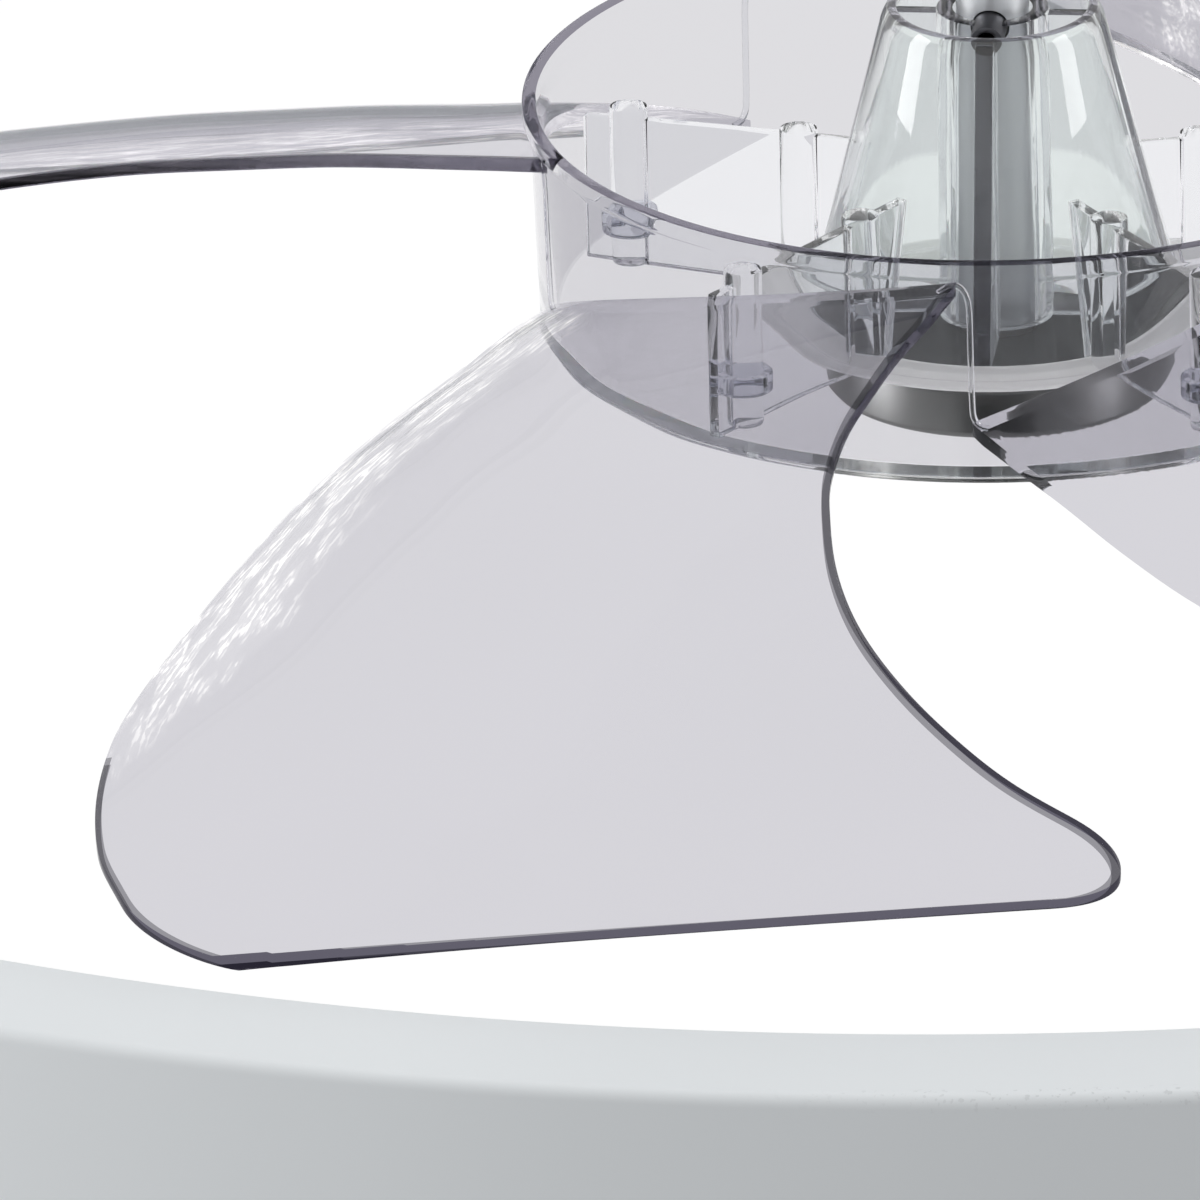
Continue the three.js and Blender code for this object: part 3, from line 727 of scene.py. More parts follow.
def cylinder(
    radius: float, low: float, high: float, segments: int = 32, at: Vector | None = None
) -> bmesh.types.BMesh:
    """Make an upright cylinder.

    Args:
        radius: Its radius.
        low: Height of its foot above LEVEL.
        high: Height of its top above LEVEL.
        segments: Sides.
        at: Its axis, as a place in plan.

    Returns:
        A closed bmesh.
    """
    bm = bmesh.new()
    bmesh.ops.create_cone(
        bm, cap_ends=True, segments=segments, radius1=radius, radius2=radius, depth=high - low
    )
    middle = Vector((0, 0, LEVEL + (low + high) / 2))
    if at is not None:
        middle += Vector((at.x, at.y, 0))
    bmesh.ops.translate(bm, verts=bm.verts, vec=middle)
    return bm


def cross_bar(
    radius: float, half: float, height: float, degrees: float, segments: int = 40
) -> bmesh.types.BMesh:
    """Make a level round bar that crosses the axis.

    Args:
        radius: Its radius.
        half: Half its length.
        height: Height of its middle line above LEVEL.
        degrees: How far it is turned about the axis, from lying along Y.
        segments: Sides.

    Returns:
        A closed bmesh.
    """
    bar = bmesh.new()
    bmesh.ops.create_cone(
        bar, cap_ends=True, segments=segments, radius1=radius, radius2=radius, depth=2 * half
    )
    upset = Matrix.Rotation(math.pi / 2, 3, "X")
    bmesh.ops.rotate(bar, verts=bar.verts, cent=(0, 0, 0), matrix=upset)
    bmesh.ops.translate(bar, verts=bar.verts, vec=(0, 0, LEVEL + height))
    return turn(bar, degrees)


def block(x: Point2, y: Point2, z: Point2) -> bmesh.types.BMesh:
    """Make a box from its limits, with heights above LEVEL.

    Args:
        x: Lowest and highest X.
        y: Lowest and highest Y.
        z: Lowest and highest height.

    Returns:
        A closed bmesh.
    """
    bm = bmesh.new()
    bmesh.ops.create_cube(bm, size=1.0)
    bmesh.ops.scale(bm, verts=bm.verts, vec=(x[1] - x[0], y[1] - y[0], z[1] - z[0]))
    middle = Vector(((x[0] + x[1]) / 2, (y[0] + y[1]) / 2, LEVEL + (z[0] + z[1]) / 2))
    bmesh.ops.translate(bm, verts=bm.verts, vec=middle)
    return bm


def tube(
    path: Sequence[Vector], radius: float, sides: int = 10, steps: int = 6
) -> bmesh.types.BMesh:
    """Sweep a circle along a smooth path.

    Args:
        path: The places that the path passes, in order.
        radius: The circle's radius.
        sides: Sides of the circle.
        steps: Steps between two places.

    Returns:
        A closed bmesh.
    """
    ends = [path[0] * 2 - path[1], *path, path[-1] * 2 - path[-2]]
    line = []
    for i in range(1, len(ends) - 2):
        a, b, c, d = ends[i - 1 : i + 3]
        for k in range(steps):
            t = k / steps
            bend, twist = 2 * a - 5 * b + 4 * c - d, 3 * b - a - 3 * c + d
            line.append(0.5 * (2 * b + (c - a) * t + bend * t**2 + twist * t**3))
    line.append(path[-1])
    bm = bmesh.new()
    rings = []
    for i, place in enumerate(line):
        ahead = (line[min(i + 1, len(line) - 1)] - line[max(i - 1, 0)]).normalized()
        outward = Vector((place.x, place.y, 0)).normalized()
        across = ahead.cross(outward).normalized()
        outward = across.cross(ahead)
        turns = [math.tau * k / sides for k in range(sides)]
        spokes = [across * math.cos(a) + outward * math.sin(a) for a in turns]
        rings.append([bm.verts.new(place + radius * spoke) for spoke in spokes])
    for near, far in zip(rings, rings[1:]):
        for k in range(sides):
            bm.faces.new((near[k - 1], near[k], far[k], far[k - 1]))
    bm.faces.new(rings[0])
    bm.faces.new(rings[-1])
    bmesh.ops.recalc_face_normals(bm, faces=bm.faces)
    return bm


def merge(parts: Iterable[bmesh.types.BMesh]) -> bmesh.types.BMesh:
    """Put several bmeshes into one.

    Args:
        parts: The bmeshes. They are freed.

    Returns:
        The bmesh that holds them all.
    """
    whole = bmesh.new()
    for part in parts:
        mesh = bpy.data.meshes.new("part")
        part.to_mesh(mesh)
        part.free()
        whole.from_mesh(mesh)
        bpy.data.meshes.remove(mesh)
    return whole


def turn(bm: bmesh.types.BMesh, degrees: float) -> bmesh.types.BMesh:
    """Turn a bmesh about the vertical axis.

    Args:
        bm: The bmesh.
        degrees: The angle.

    Returns:
        The same bmesh.
    """
    about = Matrix.Rotation(math.radians(degrees), 3, "Z")
    bmesh.ops.rotate(bm, verts=bm.verts, cent=(0, 0, 0), matrix=about)
    return bm


def bevel_edges(
    bm: bmesh.types.BMesh, edges: Iterable[bmesh.types.BMEdge], width: float, segments: int
) -> None:
    """Round some edges.

    Args:
        bm: The bmesh, in millimetres.
        edges: Its edges to round.
        width: The bevel's width.
        segments: Its segments.
    """
    bmesh.ops.bevel(
        bm,
        geom=list(edges),
        offset=width,
        offset_type="OFFSET",
        segments=segments,
        profile=0.5,
        affect="EDGES",
        material=-1,
        clamp_overlap=True,
    )


def bevel_corners(
    bm: bmesh.types.BMesh, width: float, segments: int = 2, angle: float = 35.0
) -> bmesh.types.BMesh:
    """Round every edge sharper than an angle.

    Args:
        bm: The bmesh, in millimetres.
        width: The bevel's width.
        segments: Its segments.
        angle: Degrees between two faces from which an edge is rounded.

    Returns:
        The same bmesh.
    """
    limit = math.radians(angle)
    paired = [e for e in bm.edges if len(e.link_faces) == 2]
    bevel_edges(bm, [e for e in paired if e.calc_face_angle(0.0) > limit], width, segments)
    return bm


def from_node(node: str) -> bmesh.types.BMesh:
    """Copy a CAD node's shape, merged and with its flat faces joined, in millimetres.

    Args:
        node: The CAD node's name.

    Returns:
        The copy.
    """
    bm = bmesh.new()
    bm.from_mesh(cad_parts[node].data)
    bmesh.ops.scale(bm, verts=bm.verts, vec=(1 / MM,) * 3)
    bmesh.ops.remove_doubles(bm, verts=bm.verts, dist=2e-3)
    bmesh.ops.dissolve_limit(bm, angle_limit=math.radians(1.0), verts=bm.verts, edges=bm.edges)
    return bm


def add_object(name: str, bm: bmesh.types.BMesh) -> bpy.types.Object:
    """Put a bmesh into the scene as an object, and free it.

    Args:
        name: The object's name.
        bm: The shape, in metres.

    Returns:
        The object.
    """
    mesh = bpy.data.meshes.new(name)
    bm.to_mesh(mesh)
    bm.free()
    made = bpy.data.objects.new(name, mesh)
    bpy.context.scene.collection.objects.link(made)
    return made


@dataclass
class Piece:
    """One finished piece of the scene."""

    name: str
    finish: Finish
    body: Body
    slot: Slot
    stands_for: tuple[str, ...]  # the CAD nodes that it replaces
    rim: FaceTest | None = None  # tells the faces that get the painted dark edge shade
    lightened: FaceTest | None = None  # tells the faces that get the painted lighter tint

    def publish(self, bm: bmesh.types.BMesh, smooth: float = 38.0) -> None:
        """Turn a bmesh in millimetres into the finished object.

        Args:
            bm: The shape. It is freed.
            smooth: Degrees between two faces up to which their edge is shaded smooth.
        """
        for layer, test in ((EDGE_SHADE_LAYER, self.rim), (LIGHTENED_LAYER, self.lightened)):
            if test:
                bm.normal_update()
                mark = bm.faces.layers.float.new(layer)
                for f in bm.faces:
                    f[mark] = float(test(f.calc_center_median(), f.normal))
        bmesh.ops.scale(bm, verts=bm.verts, vec=(MM,) * 3)
        made = add_object(self.name, bm)
        mesh = made.data
        mesh.polygons.foreach_set("use_smooth", [True] * len(mesh.polygons))
        mesh.set_sharp_from_angle(angle=math.radians(smooth))
        mesh.materials.append(self.finish.material())
        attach(made, self.body.value)
        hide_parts(*self.stands_for)
        log.info("%s: %d faces", self.name, len(mesh.polygons))


def dress(node: str, finish: Finish) -> None:
    """Give a CAD node that stays in place its finish.

    Args:
        node: The CAD node's name.
        finish: The finish.
    """
    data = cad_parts[node].data
    data.materials.clear()
    data.materials.append(finish.material())
    log.info("%s: CAD shape kept", node)


def rounded_node(node: str, name: str, width: float, finish: Finish, slot: Slot) -> None:
    """Replace a fixed CAD node with its own shape, its edges rounded.

    Args:
        node: The CAD node's name.
        name: The piece's name.
        width: The width of its rounded edges.
        finish: Its finish.
        slot: Its material slot.
    """
    piece = Piece(name, finish, Body.FRAME, slot, (node,))
    piece.publish(bevel_corners(from_node(node), width, 2))


def boolean(
    first: bmesh.types.BMesh, second: bmesh.types.BMesh, operation: str
) -> bmesh.types.BMesh:
    """Combine two closed shapes.

    Args:
        first: The shape that is changed. It is freed.
        second: The shape that changes it. It is freed.
        operation: "UNION" or "DIFFERENCE".

    Returns:
        The combined shape.
    """
    pair = [add_object("shape", bm) for bm in (first, second)]
    tool = pair[0].modifiers.new("combine", "BOOLEAN")
    tool.operation = operation
    tool.solver = "EXACT"
    tool.object = pair[1]
    done = pair[0].evaluated_get(bpy.context.evaluated_depsgraph_get())
    result = bmesh.new()
    result.from_mesh(done.data)
    for made in pair:
        mesh = made.data
        bpy.data.objects.remove(made)
        bpy.data.meshes.remove(mesh)
    bmesh.ops.remove_doubles(result, verts=result.verts, dist=1e-3)
    return result


def cut(target: bmesh.types.BMesh, cutter: bmesh.types.BMesh) -> bmesh.types.BMesh:
    """Cut one shape out of another, and free both."""
    return boolean(target, cutter, "DIFFERENCE")


def fuse(first: bmesh.types.BMesh, second: bmesh.types.BMesh) -> bmesh.types.BMesh:
    """Join two closed shapes into one, and free both."""
    return boolean(first, second, "UNION")


# ---------------------------------------------------------------------------------------------
# Impeller
# ---------------------------------------------------------------------------------------------


class EdgeLine:
    """A blade's edge: azimuth and height against radius, through given points, smoothly."""

    def __init__(self, points: Sequence[Point3]) -> None:
        """Keep the points of the edge.

        Args:
            points: (radius, azimuth in degrees, height above LEVEL), with growing radius.
        """
        self.points = list(points)

    def _slope(self, i: int, column: int) -> float:
        """Give the slope of a column at a point, by its neighbours.

        Args:
            i: The point's number.
            column: 1 for the azimuth and 2 for the height.

        Returns:
            The slope against the radius.
        """
        a = self.points[max(i - 1, 0)]
        b = self.points[min(i + 1, len(self.points) - 1)]
        return (b[column] - a[column]) / (b[0] - a[0])

    def at(self, radius: float, column: int) -> float:
        """Read a column at a radius.

        Args:
            radius: The radius.
            column: 1 for the azimuth and 2 for the height.

        Returns:
            The value, on a cubic through the points.
        """
        last = len(self.points) - 2
        i = 0
        while i < last and radius > self.points[i + 1][0]:
            i += 1
        a, b = self.points[i], self.points[i + 1]
        span = b[0] - a[0]
        t = min(max((radius - a[0]) / span, 0.0), 1.0)
        m0, m1 = self._slope(i, column) * span, self._slope(i + 1, column) * span
        return (
            (2 * t**3 - 3 * t**2 + 1) * a[column]
            + (t**3 - 2 * t**2 + t) * m0
            + (3 * t**2 - 2 * t**3) * b[column]
            + (t**3 - t**2) * m1
        )


@dataclass
class Blade:
    """One blade of the impeller: a twisted sheet with two rounded outer corners."""

    low_edge: EdgeLine = field(
        default_factory=lambda: EdgeLine(
            [
                (48.6, -73.1, 6.8), (50, -72.4, 6.5), (56, -68.5, 5.8), (64, -63.6, 4.2),
                (74, -59.5, 2.3), (88, -54.6, -0.2), (105, -48.7, -2.1), (125, -43, -3.2),
                (150, -37.1, -3.1), (175, -31, -2.5), (184.5, -28.3, -2.1), (192, -26.2, -1.8),
                (200.2, -23.9, -1.2),
            ]
        )
    )  # fmt: skip
    high_edge: EdgeLine = field(
        default_factory=lambda: EdgeLine(
            [
                (48.6, -2.3, 22.8), (50, -2.6, 22.9), (58, -3.8, 23.5), (72, -5.7, 24.2),
                (84, -6.7, 24.2), (95, -7.2, 24.1), (108, -7, 23.6), (120, -6.1, 23),
                (132, -5, 22.1), (145, -3.4, 21.1), (158, -1.3, 19.8), (170, 0.9, 18.5),
                (180, 2.9, 17.4), (190, 5.45, 16.0), (197, 7.1, 14.9), (204.2, 8.8, 13.7),
            ]
        )
    )  # fmt: skip
    root: float = 49.5
    tip_low: float = 198.8
    tip_high: float = 204.0
    low_corner: Point2 = (187.0, 2.7)  # radius where it starts, degrees it takes off
    high_corner: Point2 = (187.0, 5.0)
    thick: Point2 = (1.6, 1.05)  # at the root and at the tip
    camber: float = 0.59
    crowding: float = 1.7  # how much closer the rows lie towards the tip
    band: Point2 = (0.9, 1.0)  # width of the band of painted dark edge shade on the skins, inside and at the corners
    band_widens: Point2 = (0.55, 0.3)  # where along the blade it widens, and over what length
    band_depth: float = 0.82  # how dark the painted shade band is against the edge itself
    band_rows: int = 3  # rows that it takes at the tip
    dark_from: float = 154.0  # radius from which the low edge's side gets the painted dark edge shade too
    dark_above: float = 10.0  # height above which a side gets the painted dark edge shade at any radius
    joint: float = 0.6  # length of the root inside the cup's wall, which stays clear
    side_slope: float = 0.72  # a face whose normal rises less than this is a side
    edge_round: float = 0.15
    glints_off: bool = False  # whether its top skin gets no painted glints, as it faces away from the light
    both: bool = False  # whether the painted glints show on its underside as well
    rows: int = 110
    columns: int = 34

    @staticmethod
    def _corner(radius: float, corner: Point2, tip: float) -> float:
        """Give the degrees that an elliptical corner takes off an edge.

        Args:
            radius: The radius on the edge.
            corner: The radius where the corner starts, and the degrees that it takes off in all.
            tip: The radius where it ends.

        Returns:
            The degrees it takes off at the radius.
        """
        start, degrees = corner
        q = min(max((radius - start) / (tip - start), 0.0), 1.0)
        return degrees * (1.0 - math.sqrt(1.0 - q * q))

    def place(self, along: float, across: float) -> Vector:
        """Give a point of the blade's middle surface.

        Args:
            along: 0 at the root and 1 at the tip.
            across: 0 at the low edge and 1 at the high edge.

        Returns:
            The point in millimetres.
        """
        reach = 1.0 - (1.0 - along) ** self.crowding
        low_r = self.root + (self.tip_low - self.root) * reach
        high_r = self.root + (self.tip_high - self.root) * reach
        low_cut = self._corner(low_r, self.low_corner, self.tip_low)
        high_cut = self._corner(high_r, self.high_corner, self.tip_high)
        low = self.low_edge.at(low_r, 1) + low_cut
        high = self.high_edge.at(high_r, 1) - high_cut
        low_z, high_z = self.low_edge.at(low_r, 2), self.high_edge.at(high_r, 2)
        rise = across * (1.0 + self.camber * (1.0 - across))
        return polar(
            low_r + (high_r - low_r) * across,
            low + (high - low) * across,
            low_z + (high_z - low_z) * rise,
        )

    def _across(self, along: float, step: int) -> float:
        """Give how far across a column lies.

        Args:
            along: 0 at the root and 1 at the tip.
            step: The column. The first and the last bound the band of painted dark edge shade.

        Returns:
            0 at the low edge and 1 at the high edge.
        """
        width = (self.place(along, 1.0) - self.place(along, 0.0)).length
        start, length = self.band_widens
        share = min(max((along - start) / length, 0.0), 1.0)
        band = (self.band[0] + (self.band[1] - self.band[0]) * share) / width
        if step in (0, self.columns):
            return float(step > 0)
        t = (step - 1) / (self.columns - 2)
        return band + (1.0 - 2.0 * band) * (0.5 - 0.5 * math.cos(math.pi * t))

    def _grid(self) -> bmesh.types.BMesh:
        """Lay out the middle surface.

        Returns:
            An open bmesh with its band of painted dark edge shade marked, and with a UV map: U the
            radius of the low edge and V the distance from it, in metres.
        """
        bm = bmesh.new()
        bmesh.ops.create_grid(bm, x_segments=self.rows, y_segments=self.columns, size=1.0)
        flow = bm.loops.layers.uv.new(FLOW_MAP)
        dark = bm.faces.layers.float.new(EDGE_SHADE_LAYER)
        for f in bm.faces:
            middle = f.calc_center_median()
            row, column = (middle.x + 1.0) / 2.0 * self.rows, (middle.y + 1.0) / 2.0 * self.columns
            # Painted shade: the low edge's outer half, the high edge and the tip rows get the dark
            # edge colour.
            low_side = column < 1.0 and row > 0.5 * self.rows
            outer = column > self.columns - 1 or row > self.rows - self.band_rows
            f[dark] = self.band_depth * (low_side or outer)
        known: dict[int, Point2] = {}
        bm.verts.index_update()
        for v in bm.verts:
            along = (v.co.x + 1.0) / 2.0
            column = round((v.co.y + 1.0) / 2.0 * self.columns)
            v.co = self.place(along, self._across(along, column))
            edge = self.place(along, 0.0)
            known[v.index] = (Vector((edge.x, edge.y)).length * MM, (v.co - edge).length * MM)
        for f in bm.faces:
            for loop in f.loops:
                loop[flow].uv = known[loop.vert.index]
        return bm

    def _mark_sides(self, bm: bmesh.types.BMesh) -> None:
        """Mark the narrow side faces with the painted dark edge shade, and keep the painted flow
        glints off them.

        Args:
            bm: The closed blade.
        """
        dark, no_glint = bm.faces.layers.float[EDGE_SHADE_LAYER], bm.faces.layers.float[NO_GLINT_LAYER]
        for f in bm.faces:
            if abs(f.normal.z) < self.side_slope:
                middle = f.calc_center_median()
                radius = math.hypot(middle.x, middle.y)
                low_side = middle.z < LEVEL + self.dark_above and radius < self.dark_from
                f[dark] = float(radius > self.root + self.joint and not low_side)
                f[no_glint] = 1.0
            elif self.glints_off:
                f[no_glint] = 1.0

    def shape(self) -> bmesh.types.BMesh:
        """Build the blade.

        Returns:
            A closed bmesh whose painted dark edge shade, and the faces without painted flow glints,
            are marked.
        """
        bm = self._grid()
        no_glint = bm.faces.layers.float.new(NO_GLINT_LAYER)
        grown = bmesh.ops.extrude_face_region(bm, geom=list(bm.faces), use_keep_orig=True)
        lower = {v for v in grown["geom"] if isinstance(v, bmesh.types.BMVert)}
        for f in grown["geom"]:
            # The underside gets no painted glints unless it is one of the blades behind.
            if isinstance(f, bmesh.types.BMFace) and not self.both:
                f[no_glint] = 1.0
        tip, root = self.thick[1], self.thick[0]
        for v in bm.verts:
            share = (math.hypot(v.co.x, v.co.y) - self.root) / (self.tip_high - self.root)
            half = 0.5 * (tip + (root - tip) * max(1.0 - share, 0.0) ** 2)
            v.co.z += -half if v in lower else half
        bmesh.ops.recalc_face_normals(bm, faces=bm.faces)
        self._mark_sides(bm)
        return bevel_corners(bm, self.edge_round, 2, 50.0)


@dataclass
class Impeller:
    """The clear moulding: cup, hollow cone with its sleeve, bosses, webs and five blades."""

    rim_r: float = 51.5
    top_r: float = 50.7
    base_r: float = 49.8
    wall: float = 1.5
    height: float = 26.6
    floor: float = 1.7
    bore: float = 4.3
    cone_base: float = 20.8
    cone_top: float = 12.0
    cone_height: float = 37.0
    cone_wall: float = 1.7
    sleeve_r: float = 6.2
    sleeve_height: float = 36.6
    embed: float = 1.4  # height in the floor's thickness where cone and sleeve start
    rib_thick: float = 2.0
    rib_inset: float = 0.9  # how far a rib ends inside the cone's outer face
    rib_turn: float = -2.4
    pin_height: float = 35.6
    notch_r: float = 2.15
    notch_half: float = 9.4
    boss_turn: float = -37.1
    boss_at: Point2 = (23.0, 43.0)  # radii of the inner and the outer boss
    boss_r: float = 2.1
    boss_height: float = 19.4
    collar: Point2 = (5.0, 7.4)  # foot and top of the ring round an outer boss
    web: float = 1.4
    web_inner: Point2 = (18.4, 15.6)  # radius of its inner end, at its foot and at its top
    web_drop: Point2 = (0.4, 1.6)  # how far its top lies below the bosses, inside and outside
    seam_r: float = 0.35
    blades: int = 5
    away: tuple[int, ...] = (1, 2)  # the blades that get no painted glints on their top skin, as they face away from the light
    behind: tuple[int, ...] = (3, 4)  # the blades whose underside gets the painted glints too

    def cup(self) -> bmesh.types.BMesh:
        """Shape the cup: its floor, drafted wall and beaded rim.

        Returns:
            A closed bmesh.
        """
        h, w = self.height, self.wall
        profile = [
            (self.bore, 0.0), (self.base_r - 0.9, 0.0), (self.base_r, 0.9), (self.top_r, h - 2.4),
            (self.rim_r, h - 1.8), (self.rim_r, h), (self.rim_r - w, h), (self.top_r - w, h - 3.5),
            (self.base_r - w, self.floor),
            (self.bore, self.floor),
        ]  # fmt: skip
        return lathe(rounded(profile, 0.45, 3), 180)

    def notched(self, bm: bmesh.types.BMesh) -> bmesh.types.BMesh:
        """Cut the pin's slot across the top of a hub shape.

        Args:
            bm: The shape. It is freed.

        Returns:
            The shape with its slot.
        """
        half, low = self.notch_half, self.pin_height
        bar = cross_bar(self.notch_r, half, low, self.rib_turn, 32)
        mouth = block((-2.1, 2.1), (-half, half), (low, self.cone_height + 3))
        return cut(bm, fuse(bar, turn(mouth, self.rib_turn)))

    def cone(self) -> bmesh.types.BMesh:
        """Shape the hollow cone, open at its top.

        Returns:
            A closed bmesh.
        """
        h, w = self.cone_height, self.cone_wall
        profile = [
            (self.cone_base - w, self.embed), (self.cone_base, self.embed),
            (self.cone_top + 0.2, h - 1.4), (self.cone_top - 0.6, h), (self.cone_top - 1.6, h),
        ]  # fmt: skip
        return lathe(rounded(profile, 0.8, 4), 96)

    def sleeve(self) -> bmesh.types.BMesh:
        """Shape the sleeve round the shaft with its four ribs.

        Returns:
            A closed bmesh.
        """
        r, top, t = self.sleeve_r, self.sleeve_height, self.rib_thick / 2
        profile = [(self.bore, self.embed), (r, self.embed), (r, top), (self.bore, top)]
        body = lathe(rounded(profile, 0.3, 2), 64)
        for k in range(4):
            rib = block((-t, t), (-1.0, 1.0), (1.6, self.cone_height - 0.9))
            for v in rib.verts:
                outer = self.cone_base if v.co.z < LEVEL + 10 else self.cone_top
                v.co.y = -(outer - self.rib_inset) if v.co.y < 0 else -(r - 0.5)
            bevel_corners(rib, 0.25, 2)
            body = fuse(body, turn(rib, self.rib_turn + 90 * k))
        return body

    def bosses(self) -> list[bmesh.types.BMesh]:
        """Shape the five webs from the cone to the wall, each with its two round bosses.

        Returns:
            One closed bmesh for each web.
        """
        made = []
        t, foot = self.web / 2, 1.2
        outer = self.base_r - self.wall - 0.15
        for k in range(self.blades):
            whole = block((-t, t), (-2.0, 2.0), (foot, 10.0))
            for v in whole.verts:
                inner = v.co.y > 0
                top = v.co.z > LEVEL + 5
                v.co.y = -self.web_inner[top] if inner else -outer
                v.co.z = LEVEL + (self.boss_height - self.web_drop[not inner] if top else foot)
            bevel_corners(whole, 0.2, 2)
            for at in self.boss_at:
                post = cylinder(self.boss_r, foot, self.boss_height, 40, Vector((0, -at, 0)))
                whole = fuse(whole, bevel_corners(post, 0.3, 2))
            made.append(turn(whole, self.boss_turn + 360 / self.blades * k))
        return made

    def seam(self) -> bmesh.types.BMesh:
        """Shape the fine seam on the wall from a blade's high root to the next one's low root.

        Returns:
            A closed bmesh.
        """
        path = [
            (-4.6, 22.6), (-3.4, 23.6), (-2.2, 23.7), (-1.2, 22.6), (-0.8, 20.5), (-0.7, 15.0),
            (-0.6, 10.0), (-0.4, 8.2), (0.4, 7.2), (1.4, 6.9),
        ]  # fmt: skip
        taper = (self.rim_r - 1.1 - self.base_r) / self.height
        places = [polar(self.base_r + 0.25 + taper * z, azimuth, z) for azimuth, z in path]
        return tube(places, self.seam_r)

    def fillet(self) -> bmesh.types.BMesh:
        """Shape the bead where the cone's foot runs into the floor.

        Returns:
            A closed bmesh.
        """
        low, r = self.floor + 0.05, self.cone_base
        profile = [
            (r + 0.05, low), (r + 5.6, low), (r + 5.6, low + 0.5), (r + 4.6, low + 0.9),
            (r + 3.4, low + 0.35), (r + 2.2, low + 0.8), (r + 0.8, low + 1.0),
            (r + 0.05, low + 1.0),
        ]  # fmt: skip
        return lathe(rounded(profile, 0.3, 3), 120)

    def foot(self) -> bmesh.types.BMesh:
        """Shape the low collar round the foot of an outer boss.

        Returns:
            A closed bmesh, placed at azimuth 0.
        """
        inner, outer, (low, top) = self.boss_r + 0.05, self.boss_r + 1.05, self.collar
        profile = [(inner, low), (outer, low), (outer, top), (inner, top)]
        ring = lathe(rounded(profile, 0.25, 3), 48)
        bmesh.ops.translate(ring, verts=ring.verts, vec=(0, -self.boss_at[1], 0))
        return ring

    # _on_top and _on_rib tell the faces that get the painted dark edge shade: the rib faces seen
    # edge-on and the tops of the rim and cone.
    def _on_top(self, middle: Vector, normal: Vector) -> bool:
        """Tell the faces of the cup's rim that look up."""
        return middle.z > LEVEL + self.height - 1.0 and normal.z > 0.6

    def _on_rib(self, middle: Vector, normal: Vector) -> bool:
        """Tell the outer faces of the sleeve's ribs and those that look up at the top.

        Args:
            middle: The face's middle.
            normal: Its normal.

        Returns:
            True for such a face.
        """
        out = Vector((middle.x, middle.y))
        outward = out.length > self.sleeve_r + 1.5 and normal.xy.dot(out.normalized()) > 0.8
        return outward or self._on_top(middle, normal)

    # The cup floor's faces get the painted lighter tint.
    def _on_floor(self, middle: Vector, normal: Vector) -> bool:
        """Tell the two faces of the cup's floor."""
        return abs(normal.z) > 0.3 and middle.z < LEVEL + self.floor + 0.3

    def build(self) -> None:
        """Build every piece of the impeller and dress it."""
        cone, sleeve = self.notched(self.cone()), self.notched(self.sleeve())
        # A shape's first test tells the faces with painted dark edge shade, the second the faces
        # with the painted lighter tint.
        shapes: list[tuple[str, bmesh.types.BMesh, Finish, FaceTest | None, FaceTest | None]] = [
            ("cup", self.cup(), Finish.HUB, self._on_top, self._on_floor),
            ("cone", cone, Finish.CONE, self._on_top, None),
            ("sleeve", sleeve, Finish.WEB, self._on_rib, None),
            ("fillet", self.fillet(), Finish.FILLET, None, None),
        ]
        for k, web in enumerate(self.bosses()):
            shapes.append((f"web_{k + 1}", web, Finish.WEB, None, None))
        for k in range(self.blades):
            degrees = 360 / self.blades * k
            blade = Blade(glints_off=k in self.away, both=k in self.behind).shape()
            foot = turn(self.foot(), self.boss_turn + degrees)
            shapes += [
                (f"blade_{k + 1}", turn(blade, degrees), Finish.BLADE, None, None),
                (f"seam_{k + 1}", turn(self.seam(), degrees), Finish.WEB, None, None),
                (f"foot_{k + 1}", foot, Finish.FOOT, None, None),
            ]
        for name, shape, finish, rim, lightened in shapes:
            name = f"impeller_{name}"
            piece = Piece(name, finish, Body.ROTOR, Slot.CLEAR, ("impeller",), rim, lightened)
            piece.publish(shape)


# ---------------------------------------------------------------------------------------------
# Shaft line
# ---------------------------------------------------------------------------------------------


